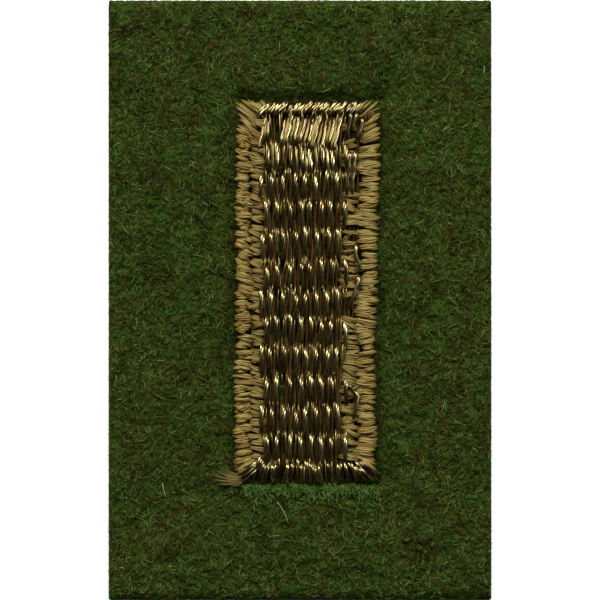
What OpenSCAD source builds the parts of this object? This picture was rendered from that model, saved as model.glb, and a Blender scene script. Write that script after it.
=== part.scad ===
// Rank tab: a rectangle of wool felt with a raised bar embroidered on it in gold thread.
// Millimetres. The tab lies on its back: +Z out of its face, +Y towards its upper end,
// +X to its right. The origin is the middle of the back.

/* [Felt] */
// Width of the felt rectangle
cloth_w = 25.4; // [20:0.1:40]
// Length of the felt rectangle
cloth_l = 39.8; // [34:0.1:60]
// Thickness of the felt, its nap included
cloth_t = 1.8; // [1.6:0.05:2.6]

/* [Bar] */
// Width of the embroidered bar
bar_w = 9.4; // [8:0.1:12]
// Length of the embroidered bar
bar_l = 25.4; // [20:0.1:28]
// How far the bar stands to the right of the felt's middle
bar_x = 0.45; // [-1:0.05:1]
// How far the bar stands above the felt's middle
bar_y = 0.5; // [-1:0.05:1]

/* [Seat] */
// How deep the stitching pulls the felt down
seat_depth = 0.45; // [0.2:0.05:0.5]
// Width of the slope round the bar
seat_slope = 1; // [0.5:0.1:1.5]

/* [Border] */
// Width of the left border
left_w = 0.95; // [0.7:0.05:1.3]
// Width of the right border
right_w = 1.2; // [0.7:0.05:1.4]
// Depth of the top border along the bar
top_w = 0.7; // [0.5:0.05:1.2]
// Depth of the bottom border along the bar
bottom_w = 1.45; // [1:0.05:2]
// Height of the side borders above the seat
side_h = 0.9; // [0.6:0.05:1.2]
// Height of the end borders above the seat
end_h = 0.85; // [0.6:0.05:1.2]

/* [Underlay] */
// Width of the underlay column that shows beside the left border
left_column_w = 0.8; // [0.5:0.05:1.2]
// Width of the underlay column that shows beside the right border
right_column_w = 1; // [0.5:0.05:1.2]
// Height of those columns above the seat
column_h = 0.8; // [0.5:0.05:1]
// Thickness of the underlay beneath the gold
underlay_t = 0.3; // [0.2:0.05:0.4]

/* [Gold fill] */
// Rows of stitches along the bar
rows = 12; // [8:1:16]
// Pairs of threads side by side in a row
pairs = 8; // [4:1:10]
// Height of the stitches' crowns above the seat
fill_h = 1.1; // [0.9:0.05:1.3]
// How far a stitch rises between its two ends
row_rise = 0.35; // [0.15:0.05:0.4]
// Width of the groove between two pairs of threads, at their crowns
groove_w = 0.2; // [0.1:0.02:0.3]
// Depth of that groove below the crowns
groove_depth = 0.2; // [0.05:0.01:0.25]

/* [Loose end] */
// Radius of the knot that the loose strands spring from
knot_r = 0.16; // [0.1:0.02:0.2]
// Radius of a strand where it leaves the knot
strand_r = 0.08; // [0.05:0.01:0.1]
// Radius of a strand at its tip
tip_r = 0.02; // [0.01:0.01:0.04]
// How far the knot lies above the bar's lower end
knot_up = 0.4; // [0.2:0.1:2]

/* [Back] */
// Depth of the stitching on the back
back_t = 0.3; // [0.2:0.05:0.35]
// How far the stitching on the back stops short of the bar's outline
back_inset = 0.2; // [0.1:0.05:0.5]

/* [Hidden] */

// Free space between one piece and the next
gap = 0.05;
// Extra reach of a cutting shape past what it cuts
past = 1;

seat_z = cloth_t - seat_depth;
foot_z = seat_z + gap;

bar_left = bar_x - bar_w / 2;
bar_right = bar_x + bar_w / 2;
bar_bottom = bar_y - bar_l / 2;
bar_top = bar_y + bar_l / 2;

inner_left = bar_left + left_w + gap;
inner_right = bar_right - right_w - gap;
inner_bottom = bar_bottom + bottom_w + gap;
inner_top = bar_top - top_w - gap;
inner_l = inner_top - inner_bottom;
inner_y = (inner_top + inner_bottom) / 2;

fill_left = inner_left + left_column_w + gap;
fill_right = inner_right - right_column_w - gap;
fill_w = fill_right - fill_left;
fill_z = foot_z + underlay_t + gap;
fill_t = fill_h - underlay_t - 2 * gap;

// A loose strand: its bearing from the knot, its length and how far its tip rises
BEARING = 0;
LENGTH = 1;
RISE = 2;
strands = [
    [136, 0.94, 0.22],
    [158, 1.26, 0.28],
    [174, 1.64, 0.32],
    [188, 1.44, 0.30],
    [204, 1.25, 0.26]
];
knot_x = bar_left - knot_r - gap;
knot_y = bar_bottom + knot_up;
knot_z = cloth_t;

// Share of a satin column's height at which its upright sides end
shoulder_share = 0.45;
// Sides of the circles that the arches are cut from
arch_sides = 96;
// Sides of the knot and of a strand at its root, and of a strand at its tip
strand_sides = 12;
tip_sides = 8;

felt_green = [0.19, 0.28, 0.1];
border_tan = [0.62, 0.5, 0.28];
underlay_tan = [0.55, 0.44, 0.25];
thread_gold = [0.72, 0.56, 0.24];
bobbin_drab = [0.3, 0.32, 0.2];

// Radius of the arc that rises by a given height over a given chord
function arc_r(chord, rise) = (chord * chord / 4 + rise * rise) / (2 * rise);

// The upper part of a circle: an arch of the given chord and rise, standing on y = 0
module arch(chord, rise) {
    r = arc_r(chord, rise);
    intersection() {
        translate([0, rise - r]) circle(r, $fn = arch_sides);
        translate([-chord / 2, 0]) square([chord, rise + past]);
    }
}

// Section of a satin column: upright sides to the shoulder and a round crown
module column_section(w, h) {
    shoulder = shoulder_share * h;
    translate([-w / 2, 0]) square([w, shoulder]);
    translate([0, shoulder]) arch(w, h - shoulder);
}

// A row of equal arches side by side, solid down to y = 0 and centred on x = 0
module arch_row(count, pitch, height, rise) {
    r = arc_r(pitch, rise);
    intersection() {
        translate([-count * pitch / 2, 0]) square([count * pitch, height + past]);
        for (i = [0 : count - 1])
            translate([(i - (count - 1) / 2) * pitch, height - r]) circle(r, $fn = arch_sides);
    }
}

// Carries a flat section along Y for a length, from its middle both ways
module along_y(l) {
    rotate([90, 0, 0]) linear_extrude(l, center = true) children();
}

// Carries a flat section along X for a length, from its middle both ways
module along_x(l) {
    rotate([90, 0, 90]) linear_extrude(l, center = true) children();
}

// A plan outline raised to a wall tall enough to trim any piece of the bar
module plan(points) {
    linear_extrude(cloth_t + fill_h + past) polygon(points);
}

// The space of the sunk seat: a low frustum, wider at the felt's surface
module seat_space() {
    rise = seat_depth + past;
    spread = seat_slope * rise / seat_depth;
    w = bar_w / 2 + gap;
    l = bar_l / 2 + gap;
    translate([bar_x, bar_y, seat_z]) intersection() {
        along_y(2 * (l + spread))
            polygon([[-w, 0], [w, 0], [w + spread, rise], [-w - spread, rise]]);
        along_x(2 * (w + spread))
            polygon([[-l, 0], [l, 0], [l + spread, rise], [-l - spread, rise]]);
    }
}

module back_plate(grow, t) {
    w = bar_w - 2 * back_inset + 2 * grow;
    l = bar_l - 2 * back_inset + 2 * grow;
    translate([bar_x - w / 2, bar_y - l / 2, 0]) cube([w, l, t]);
}

module cloth_tab() {
    color(felt_green) difference() {
        translate([-cloth_w / 2, -cloth_l / 2, 0]) cube([cloth_w, cloth_l, cloth_t]);
        seat_space();
        translate([0, 0, -past]) back_plate(gap, past + back_t);
    }
}

module underlay() {
    w = inner_right - inner_left;
    color(underlay_tan) translate([0, inner_y, foot_z]) along_y(inner_l) {
        translate([inner_left, 0]) square([w, underlay_t]);
        translate([inner_left + left_column_w / 2, 0]) column_section(left_column_w, column_h);
        translate([inner_right - right_column_w / 2, 0])
            column_section(right_column_w, column_h);
    }
}

// Section of the groove between two pairs of threads, open upwards past the crowns
module groove_section() {
    half = groove_w / 2 * (groove_depth + past) / groove_depth;
    translate([0, fill_t - groove_depth])
        polygon([[0, 0], [half, groove_depth + past], [-half, groove_depth + past]]);
}

// The rows' arches run across the bar, with a groove along the bar between each two pairs
module gold_fill() {
    color(thread_gold) translate([(fill_left + fill_right) / 2, inner_y, fill_z])
        difference() {
            along_x(fill_w) arch_row(rows, inner_l / rows, fill_t, row_rise);
            for (i = [1 : pairs - 1])
                translate([(i - pairs / 2) * fill_w / pairs, 0, 0])
                    along_y(inner_l + past) groove_section();
        }
}

// A satin column along a side, between two places on X, mitred where the end borders meet it
module side_border(outer, inner) {
    intersection() {
        translate([(outer + inner) / 2, bar_y, foot_z])
            along_y(bar_l) column_section(abs(inner - outer), side_h);
        plan([
            [outer, bar_bottom + gap], [inner, inner_bottom],
            [inner, inner_top], [outer, bar_top - gap]
        ]);
    }
}

// A satin column along an end, between two places on Y, mitred where the side borders meet it
module end_border(outer, inner) {
    intersection() {
        translate([bar_x, (outer + inner) / 2, foot_z])
            along_x(bar_w) column_section(abs(inner - outer), end_h);
        plan([
            [bar_left + gap, outer], [inner_left, inner],
            [inner_right, inner], [bar_right - gap, outer]
        ]);
    }
}

module left_border() {
    color(border_tan) side_border(bar_left, bar_left + left_w);
}

module right_border() {
    color(border_tan) side_border(bar_right, bar_right - right_w);
}

module top_border() {
    color(thread_gold) end_border(bar_top, bar_top - top_w);
}

module bottom_border() {
    color(thread_gold) end_border(bar_bottom, bar_bottom + bottom_w);
}

module thread_tail() {
    color(border_tan) translate([knot_x, knot_y, knot_z]) {
        sphere(knot_r, $fn = strand_sides);
        for (s = strands)
            rotate([0, 0, s[BEARING]]) rotate([0, 90 - asin(s[RISE] / s[LENGTH]), 0]) hull() {
                sphere(strand_r, $fn = strand_sides);
                translate([0, 0, s[LENGTH]]) sphere(tip_r, $fn = tip_sides);
            }
    }
}

module bobbin_stitches() {
    color(bobbin_drab) back_plate(0, back_t - gap);
}

cloth_tab();
underlay();
gold_fill();
left_border();
right_border();
top_border();
bottom_border();
thread_tail();
bobbin_stitches();
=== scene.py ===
"""Dresses the frame of an embroidered rank tab: a rectangle of green wool felt with its nap, and
a raised bar of gold and tan stitches sewn on it. All sizes are in metres, in the frame's axes:
+Z out of the face, +Y towards the upper end of the bar."""

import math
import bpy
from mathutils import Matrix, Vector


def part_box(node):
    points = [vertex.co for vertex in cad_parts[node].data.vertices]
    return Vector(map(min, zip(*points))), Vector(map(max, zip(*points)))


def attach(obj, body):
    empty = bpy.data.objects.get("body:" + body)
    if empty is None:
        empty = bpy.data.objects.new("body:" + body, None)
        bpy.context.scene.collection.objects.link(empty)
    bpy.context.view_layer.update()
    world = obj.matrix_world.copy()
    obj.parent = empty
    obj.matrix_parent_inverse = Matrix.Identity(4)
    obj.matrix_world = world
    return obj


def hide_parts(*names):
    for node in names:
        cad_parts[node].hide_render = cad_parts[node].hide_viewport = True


bl_info = {
    "name": "Rank Tab",
    "version": (1, 0, 0),
    "blender": (4, 5, 0),
    "location": "View3D > Sidebar > Rank Tab",
    "description": "Makes the felt, nap and stitches of an embroidered rank tab",
    "category": "Object",
}

from typing import NamedTuple

import bpy
import numpy as np
from bpy.props import FloatProperty, FloatVectorProperty, IntProperty, PointerProperty
from bpy.types import Operator, Panel, PropertyGroup

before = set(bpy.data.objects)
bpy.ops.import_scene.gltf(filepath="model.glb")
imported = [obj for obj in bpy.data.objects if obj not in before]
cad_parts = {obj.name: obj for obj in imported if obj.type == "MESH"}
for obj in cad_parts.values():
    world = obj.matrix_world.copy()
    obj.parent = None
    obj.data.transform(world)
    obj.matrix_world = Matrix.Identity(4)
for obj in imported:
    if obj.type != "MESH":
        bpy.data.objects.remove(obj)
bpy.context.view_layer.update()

MM = 0.001
TAU = 2 * math.pi
BODY = "root"
UV = "OFBake"


def node_box(node):
    """Lowest and highest corner of a node of the frame, as two arrays."""
    low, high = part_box(node)
    return np.array(low), np.array(high)


CLOTH_LOW, CLOTH_HIGH = node_box("cloth_tab")
UNDER_LOW, UNDER_HIGH = node_box("underlay")
FILL_LOW, FILL_HIGH = node_box("gold_fill")
LEFT_LOW, LEFT_HIGH = node_box("left_border")
RIGHT_LOW, RIGHT_HIGH = node_box("right_border")
TOP_LOW, TOP_HIGH = node_box("top_border")
BOTTOM_LOW = node_box("bottom_border")[0]
TAIL_LOW, TAIL_HIGH = node_box("thread_tail")
BACK_LOW, BACK_HIGH = node_box("bobbin_stitches")

BAR_LOW = np.array([LEFT_LOW[0], BOTTOM_LOW[1]])
BAR_HIGH = np.array([RIGHT_HIGH[0], TOP_HIGH[1]])
BAR_MIDDLE = (BAR_LOW + BAR_HIGH) / 2
SEAT_Z = LEFT_LOW[2]
# Height of the felt's core under the bar, below the fibres that the stitching presses flat
SEAT_CORE = SEAT_Z - 0.12 * MM

# Settings


def length(name, description, millimetres):
    """A size that the user can change, kept in metres."""
    return FloatProperty(
        name=name,
        description=description,
        default=millimetres * MM,
        min=0.0,
        precision=6,
        subtype="DISTANCE",
        unit="LENGTH",
    )


def colour(name, description, red, green, blue):
    """A linear colour that the user can change."""
    return FloatVectorProperty(
        name=name,
        description=description,
        default=(red, green, blue),
        min=0.0,
        max=1.0,
        size=3,
        subtype="COLOR",
    )


def count(name, description, number):
    """A number of things that the user can change."""
    return IntProperty(name=name, description=description, default=number, min=1)


def share(name, description, number):
    """A share from 0 to 1 that the user can change."""
    return FloatProperty(
        name=name, description=description, default=number, min=0.0, max=1.0, subtype="FACTOR"
    )


def power(name, description, watts):
    """A lamp's power that the user can change."""
    return FloatProperty(name=name, description=description, default=watts, min=0.0, unit="POWER")


class FeltSettings(PropertyGroup):
    """The wool felt and its nap."""

    nap_height: length("Nap height", "How far the nap stands over the felt's core", 0.26)
    slope: length("Slope", "Width of the slope down to the embroidered bar", 1.3)
    cell: length("Cell", "Side of one cell of the felt's grid", 0.25)
    fibres: count("Fibres", "Fibres of nap on the face", 52000)
    fibre_length: length("Fibre length", "Usual length of a fibre", 0.66)
    fibre_width: length("Fibre width", "Widest place of a usual fibre", 0.053)
    # Painted shade: this colour darkens the felt's core, which shows only in the hollows between
    # the fibres
    hollow_shade: colour("Hollows", "Colour of the felt deep between its fibres", 0.017, 0.022, 0.003)
    brown: colour("Brown wool", "Colour of the brownest fibres", 0.046, 0.029, 0.0055)
    olive: colour("Olive wool", "Colour of most fibres", 0.036, 0.048, 0.0064)
    green: colour("Green wool", "Colour of the greenest fibres", 0.027, 0.075, 0.0075)
    bright: colour("Bright wool", "Colour of the palest fibres", 0.095, 0.128, 0.035)
    edge_fibres: count("Edge fibres", "Fibres on the cut edges, all round", 9500)
    back_fibres: count("Back fibres", "Fibres that lie flat on the back", 15000)
    fringe_fibres: count("Fringe fibres", "Fibres that the stitching pushes up below it", 2200)
    hair: colour("Hair", "Colour of the few pale hairs on the felt", 0.26, 0.24, 0.14)


class ThreadSettings(PropertyGroup):
    """The tan thread of the borders and the underlay."""

    strands: count("Strands", "Strands that lie side by side in the thread", 3)
    width: length("Width", "Width of a strand of the thread", 0.115)
    twist: length("Twist", "Length of thread in which its strands turn once", 2.6)
    pitch: length("Pitch", "Distance from one border stitch to the next", 0.26)
    inner_pitch: length("Inner pitch", "Distance between stitches of the inner columns", 0.3)
    left_column: length("Left column", "Width of the inner column on the left", 0.8)
    right_column: length("Right column", "Width of the inner column on the right", 1.0)
    ragged: length("Ragged ends", "How far stitches miss their outer edge", 0.11)
    deep: colour("Deep tan", "Colour of the brownest thread", 0.120, 0.068, 0.012)
    tan: colour("Tan", "Colour of most thread", 0.176, 0.122, 0.0275)
    pale: colour("Pale tan", "Colour of the yellowest thread", 0.184, 0.150, 0.046)
    bobbin: colour("Bobbin", "Colour of the lower thread on the back", 0.095, 0.085, 0.040)
    roughness: share("Roughness", "Roughness of the thread", 0.6)


class GoldSettings(PropertyGroup):
    """The metallic gold thread of the fill and the ends."""

    rows: count("Rows", "Rows of stitches along the bar", 12)
    strands: count("Strands", "Strands that are twisted into the thread", 3)
    width: length("Width", "Width of a strand of the thread", 0.16)
    twist: length("Twist", "Length of thread in which its strands turn once", 3.2)
    top_pitch: length("Top pitch", "Distance between stitches of the top border", 0.22)
    bottom_pitch: length("Bottom pitch", "Distance between stitches of the bottom border", 0.27)
    strays: count("Strays", "Fine strands that strayed from the threads of the fill", 440)
    deep: colour("Deep gold", "Colour of the darkest foil", 0.14, 0.082, 0.018)
    gold: colour("Gold", "Colour of most foil", 0.235, 0.176, 0.050)
    pale: colour("Pale gold", "Colour of the palest foil", 0.32, 0.27, 0.10)
    roughness: share("Roughness", "Roughness of the foil", 0.27)
    worn: share("Worn roughness", "Roughness of the fine strands, whose foil is worn", 0.42)
    metal: share("Metal", "Share of the foil that is bare metal", 0.98)
    lacquer: share("Lacquer", "Strength of the clear lacquer on the foil", 0.7)
    # Painted shade: this dark colour stands for the shade on the gold threads low in the hollows
    shaded_ground: colour("Ground", "Colour of the threads low in the hollows", 0.11, 0.062, 0.015)


class StageSettings(PropertyGroup):
    """The floor, the lights and the camera."""

    distance: length("Camera height", "Height of the camera over the floor", 600.0)
    view: length("View", "Side of the square that the camera sees", 39.8)
    floor: colour("Floor", "Colour of the floor", 0.86, 0.86, 0.85)
    key_power: power("Key power", "Power of the long lamp beyond the upper end", 8.0)
    high_power: power("High power", "Power of the lamp that stands higher beyond the key", 1.0)
    side_power: power("Side power", "Power of each of the two lamps at the sides", 0.15)
    sky: colour("Sky", "Colour of the light from all round", 0.02, 0.02, 0.02)


# Numbers and noise

# Each noise and each piece's random draws have a fixed seed of their own, so that the tab comes
# out the same every time, and a change to one piece leaves the others as they are

# Layers of noise: the strength of each, the cell of its lattice in mm, and its seed. The felt's
# soft lumps, whose strength is a height in mm, and the patches of shade and of hue in its wool
LUMPS = ((0.04, 2.6, 11), (0.055, 0.6, 12), (0.03, 0.27, 15))
SHADE_PATCHES = ((0.18, 0.3, 21), (0.09, 1.3, 22), (0.1, 0.16, 29))
HUE_PATCHES = ((0.3, 0.38, 23), (0.17, 1.2, 24))
# How much deeper the felt dips above the bar's upper end than beside the bar, and how much
# less deep below its lower end, as shares
DEEPER_ABOVE, FLATTER_BELOW = 0.7, 0.6


def unit(vectors):
    """Vectors divided by their own lengths."""
    return vectors / np.maximum(np.linalg.norm(vectors, axis=-1, keepdims=True), 1e-12)


def stacked(*parts):
    """Arrays and numbers, spread to one shape and laid side by side along a new last axis."""
    return np.stack(np.broadcast_arrays(*parts), -1)


def each(value, n):
    """One value, or one for each of n things, as a column of n numbers."""
    return np.broadcast_to(np.asarray(value, float), (n,))[:, None]


def smooth(x):
    """The smoothstep of x, which is 3x^2 - 2x^3 between 0 and 1 and flat outside."""
    x = np.clip(x, 0.0, 1.0)
    return x * x * (3 - 2 * x)


def noise(x, y, cell, seed):
    """Smooth noise from -1 to 1: a random value on each corner of a square lattice of this
    cell, blended with the smoothstep of the place inside the cell."""
    size = 256
    table = np.random.default_rng(seed).uniform(-1, 1, (size, size))
    u, v = np.asarray(x) / cell, np.asarray(y) / cell
    i, j = np.floor(u).astype(int), np.floor(v).astype(int)
    fu, fv = smooth(u - i), smooth(v - j)
    low = table[i % size, j % size] * (1 - fu) + table[(i + 1) % size, j % size] * fu
    high = table[i % size, (j + 1) % size] * (1 - fu) + table[(i + 1) % size, (j + 1) % size] * fu
    return low * (1 - fv) + high * fv


def layered(base, x, y, layers):
    """The base with several layers of noise added to it, one after another."""
    for strength, cell, seed in layers:
        base = base + strength * noise(x, y, cell * MM, seed)
    return base


def outside_bar(x, y):
    """Distance from a place to the outline of the bar, halved below its lower end, and 0
    inside it."""
    dx = np.maximum(np.maximum(BAR_LOW[0] - x, x - BAR_HIGH[0]), 0)
    dy = np.maximum(np.maximum(0.5 * (BAR_LOW[1] - y), y - BAR_HIGH[1]), 0)
    return np.hypot(dx, dy)


def inside_bar(x, y):
    """Distance from a place inside the bar to its outline, and 0 outside it."""
    dx = np.minimum(x - BAR_LOW[0], BAR_HIGH[0] - x)
    dy = np.minimum(y - BAR_LOW[1], BAR_HIGH[1] - y)
    return np.maximum(np.minimum(dx, dy), 0)


def nearness(x, y, felt):
    """How near the bar a place is: the square of the share of the slope's width that is left
    there, which is 1 at the bar and inside it."""
    return (1 - np.minimum(outside_bar(x, y) / felt.slope, 1)) ** 2


def below_bar(x, y):
    """How much a place belongs to the felt just below the bar: 1 at its lower end, falling to 0
    about two millimetres from there, and to 0 a little past its two sides."""
    down = smooth(1 - (BAR_LOW[1] - y) / (2.4 * MM)) * (y < BAR_LOW[1])
    side = np.minimum(x - BAR_LOW[0], BAR_HIGH[0] - x) / MM + 0.5 * noise(x, y, 0.9 * MM, 32)
    return down * smooth((side + 0.9) / 1.6)


def felt_top(x, y, felt):
    """Height of the felt's core: the cloth's thickness less its nap, lowered towards the bar to
    its seat by the nearness to it, more above its upper end and less below its lower end, with
    the felt's soft lumps."""
    core = CLOTH_HIGH[2] - felt.nap_height
    dip = core - SEAT_CORE
    above = smooth((y - BAR_HIGH[1] + 0.3 * MM) / (0.3 * MM))
    below = smooth((BAR_LOW[1] + 0.2 * MM - y) / (0.35 * MM))
    near = nearness(x, y, felt) * (1 + DEEPER_ABOVE * above) * (1 - FLATTER_BELOW * below)
    lumps = layered(0.0, x, y, LUMPS)
    return core - dip * near + lumps * MM * (1 - 0.8 * np.minimum(near, 1))


# Meshes

# Share of a cell of an atlas that a tube's UVs leave free at each side of the cell
CELL_MARGIN = 0.06


def distances(paths):
    """How far each point of each path lies from its start, measured along it."""
    step = np.linalg.norm(np.diff(paths, axis=1), axis=-1)
    return np.concatenate([np.zeros((len(paths), 1)), np.cumsum(step, 1)], 1)


def left_of(run):
    """The level direction at right angles to each run, on its left."""
    return unit(stacked(-run[..., 1], run[..., 0], 0))


def tubes(centre, side, wide, tall, faces_round, cell, atlas):
    """Closed tubes along many paths at once. Each point of a path carries an ellipse, with
    half axis wide along side and half axis tall along tangent x side. A tube's UV is one cell
    of an atlas of columns and rows: U goes round it and V along it."""
    n, m, k = *centre.shape[:2], faces_round
    tangent = unit(np.gradient(centre, axis=1))
    normal = unit(np.cross(tangent, side))
    turn = TAU * np.arange(k) / k
    across = (wide[..., None] * np.cos(turn))[..., None] * side[:, :, None, :]
    upward = (tall[..., None] * np.sin(turn))[..., None] * normal[:, :, None, :]
    points = centre[:, :, None, :] + across + upward

    tube = np.arange(n)[:, None, None] * m * k
    ring = np.arange(m - 1)[None, :, None] * k
    here = np.arange(k)[None, None, :]
    after = (here + 1) % k
    a, b = tube + ring + here, tube + ring + after
    walls = stacked(a, b, b + k, a + k).reshape(-1)
    tube = np.arange(n)[:, None] * m * k
    start = tube + np.arange(k)[::-1]
    end = tube + (m - 1) * k + np.arange(k)
    corners = np.concatenate([walls, start.reshape(-1), end.reshape(-1)])
    sizes = np.concatenate([np.full(n * (m - 1) * k, 4), np.full(2 * n, k)])

    columns, rows = atlas
    along = distances(centre)
    along = CELL_MARGIN + (1 - 2 * CELL_MARGIN) * along / along[:, -1:]
    around = CELL_MARGIN + (1 - 2 * CELL_MARGIN) * np.arange(k + 1) / k
    column, row = (cell % columns)[:, None, None], (cell // columns % rows)[:, None, None]
    left, right = (column + around[:-1]) / columns, (column + around[1:]) / columns
    level = (row + along[..., None]) / rows
    low, high = level[:, :-1], level[:, 1:]
    wall_uv = stacked(left, low, right, low, right, high, left, high)
    start_uv = stacked(left[:, 0, ::-1], level[:, 0])
    end_uv = stacked(left[:, 0], level[:, -1])
    uv = np.concatenate([part.reshape(-1, 2) for part in (wall_uv, start_uv, end_uv)])
    return points.reshape(-1, 3), corners, sizes, uv


def spindles(centre, side, wide, cell, atlas):
    """Closed spindles along many paths at once: a point at each end of a path and, at each place
    between them, a triangle whose corners lie at the distance wide from the path. A spindle's
    UV is one cell of an atlas of columns and rows: U goes round it and V along it."""
    n, m = centre.shape[:2]
    normal = unit(np.cross(unit(np.gradient(centre, axis=1)), side))
    turn = (TAU * np.arange(3) / 3)[:, None]
    off = np.cos(turn) * side[:, 1:-1, None] + np.sin(turn) * normal[:, 1:-1, None]
    rings = centre[:, 1:-1, None] + wide[:, 1:-1, None, None] * off
    points = np.concatenate([centre[:, :1], rings.reshape(n, -1, 3), centre[:, -1:]], 1)

    here = np.arange(3)
    after = (here + 1) % 3
    tip = 3 * (m - 2) + 1
    ring = 1 + 3 * np.arange(m - 3)[:, None]
    first = stacked(0, 1 + after, 1 + here)
    walls = stacked(ring + here, ring + after, ring + 3 + after, ring + 3 + here)
    last = stacked(tip - 3 + here, tip - 3 + after, tip)
    corners = np.concatenate([first.ravel(), walls.ravel(), last.ravel()])
    sizes = np.concatenate([np.full(3, 3), np.full(3 * (m - 3), 4), np.full(3, 3)])

    left = here / 3
    middle, right = left + 1 / 6, left + 1 / 3
    level = (np.arange(m) / (m - 1))[:, None]
    low, high = level[1:-2], level[2:-1]
    first_uv = stacked(middle, 0, right, level[1], left, level[1])
    wall_uv = stacked(left, low, right, low, right, high, left, high)
    last_uv = stacked(left, level[-2], right, level[-2], middle, 1)
    uv = np.concatenate([part.ravel() for part in (first_uv, wall_uv, last_uv)]).reshape(-1, 2)
    columns, rows = atlas
    place = stacked(cell % columns, cell // columns % rows)[:, None]
    uv = (place + CELL_MARGIN + (1 - 2 * CELL_MARGIN) * uv) / (columns, rows)

    corners = np.arange(n)[:, None] * (tip + 1) + corners
    return points.reshape(-1, 3), corners.ravel(), np.tile(sizes, n), uv.reshape(-1, 2)


def join(parts):
    """Several surfaces as one, each a tuple of points, corner indices, face sizes and UVs."""
    offsets = np.cumsum([0] + [len(p[0]) for p in parts[:-1]])
    return (
        np.concatenate([p[0] for p in parts]),
        np.concatenate([p[1] + offset for p, offset in zip(parts, offsets)]),
        np.concatenate([p[2] for p in parts]),
        np.concatenate([p[3] for p in parts]),
    )


def make_object(name, parts, material):
    """A mesh object at the origin from one or more surfaces."""
    points, corners, sizes, uv = join(parts)
    mesh = bpy.data.meshes.new(name)
    mesh.vertices.add(len(points))
    mesh.vertices.foreach_set("co", points.astype(np.float32).ravel())
    mesh.loops.add(len(corners))
    mesh.loops.foreach_set("vertex_index", corners.astype(np.int32))
    mesh.polygons.add(len(sizes))
    starts = np.concatenate([[0], np.cumsum(sizes)[:-1]])
    mesh.polygons.foreach_set("loop_start", starts.astype(np.int32))
    mesh.uv_layers.new(name=UV).uv.foreach_set("vector", uv.astype(np.float32).ravel())
    mesh.update(calc_edges=True)
    mesh.shade_smooth()
    mesh.materials.append(material)
    piece = bpy.data.objects.new(name, mesh)
    bpy.context.scene.collection.objects.link(piece)
    return piece


def finish_piece(piece, slot, *nodes):
    """Rides a piece on the tab and hides the nodes that it stands for; its slot is not used."""
    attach(piece, BODY)
    if nodes:
        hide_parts(*nodes)


# Stitches

THREAD_ATLAS = (8, 8)
# A strand's cell is drawn from this many numbers, which are counted round and round the atlas
CELL_NUMBERS = 4096
# Share of the strands that take the shade of the thread or lock that they belong to
SAME_SHADE = 0.6

# Heights of the ends of the gold and of the tan stitches, a little under the felt of the seat,
# where they dive into it
GOLD_FOOT = SEAT_CORE
TAN_FOOT = SEAT_Z - 0.15 * MM
# Distance between the rings of a laid thread, and how far it wanders to its sides
LAID_STEP, LAID_WANDER = 0.4 * MM, 0.06 * MM


def arched(start, end, foot, crown, rings, exponent=2.4, peak=0.5, tilt=0.0, fall=None):
    """Paths of stitches that are straight in plan from start to end. The height rises from
    foot to crown and falls back as (1 - |x|^e)^(1/e), where e is the exponent, and x runs from
    -1 to 1 and is 0 at the share peak of the length. Before that place it is lower by the
    share tilt of -x, and past it the exponent is fall, if that is given."""
    t = 0.5 - 0.5 * np.cos(math.pi * np.linspace(0, 1, rings))[None, :]
    plan = start[:, None, :] + (end - start)[:, None, :] * t[..., None]
    foot, crown, peak, tilt = (each(value, len(start)) for value in (foot, crown, peak, tilt))
    x = np.where(t < peak, t / peak - 1, (t - peak) / (1 - peak))
    exponent = np.where(x < 0, exponent, exponent if fall is None else fall)
    lift = np.maximum(1 - np.abs(x) ** exponent, 0) ** (1 / exponent)
    lift = lift - tilt * np.maximum(-x, 0)
    return np.concatenate([plan, (foot + (crown - foot) * lift)[..., None]], -1)


def sideways(paths):
    """For each point of each path, the level direction at right angles to its run in plan."""
    side = left_of(paths[:, -1] - paths[:, 0])
    return np.broadcast_to(side[:, None, :], paths.shape)


def tapered(paths, pinch, exponent):
    """The place of each point of each path in plan, from -1 at its start to 1 at its end, and
    how full a thread is there: 1 in the middle, and less towards the first and the last end by
    the two shares pinch, as |place|^exponent."""
    level = np.linalg.norm((paths - paths[:, :1])[..., :2], axis=-1)
    place = 2 * level / level[:, -1:] - 1
    return place, 1 - np.where(place < 0, pinch[0], pinch[1]) * np.abs(place) ** exponent


def mostly(shared, rng):
    """For most strands the cell of the atlas that is shared, for the others one of their own."""
    chance = rng.uniform(0, 1, len(shared))
    own = rng.integers(0, CELL_NUMBERS, len(shared))
    return np.where(chance < SAME_SHADE, shared, own)


def plied(paths, strands, width, twist, seed, faces_round=6, flat=0.8, pinch=(0.35, 0.35)):
    """Thread along paths: strands, each a closed tube of this width, wind round the path, spaced
    evenly about it so that they nearly touch, one turn in each length of twist. Flat is the
    thread's height as a share of its width. Towards the first and the last end of a stitch the
    strands draw together and thin by the two shares pinch."""
    rng = np.random.default_rng(seed)
    n = len(paths)
    width = each(width, n)
    side = sideways(paths)
    normal = unit(np.cross(unit(np.gradient(paths, axis=1)), side))
    along = distances(paths)
    full = tapered(paths, pinch, 4)[1]
    spread = 0.0 if strands == 1 else 0.47 / math.sin(math.pi / strands)
    first = rng.uniform(0, TAU, (n, 1))
    shared = rng.integers(0, CELL_NUMBERS, n)
    parts = []
    for strand in range(strands):
        angle = first + TAU * (strand / strands + along / twist)
        off = (spread * width * full)[..., None]
        centre = paths + off * (
            np.cos(angle)[..., None] * side + flat * np.sin(angle)[..., None] * normal
        )
        size = width / 2 * full * rng.uniform(0.88, 1.12, (n, 1))
        cell = mostly(shared, rng)
        parts.append(tubes(centre, side, size, size * flat, faces_round, cell, THREAD_ATLAS))
    return parts


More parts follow.
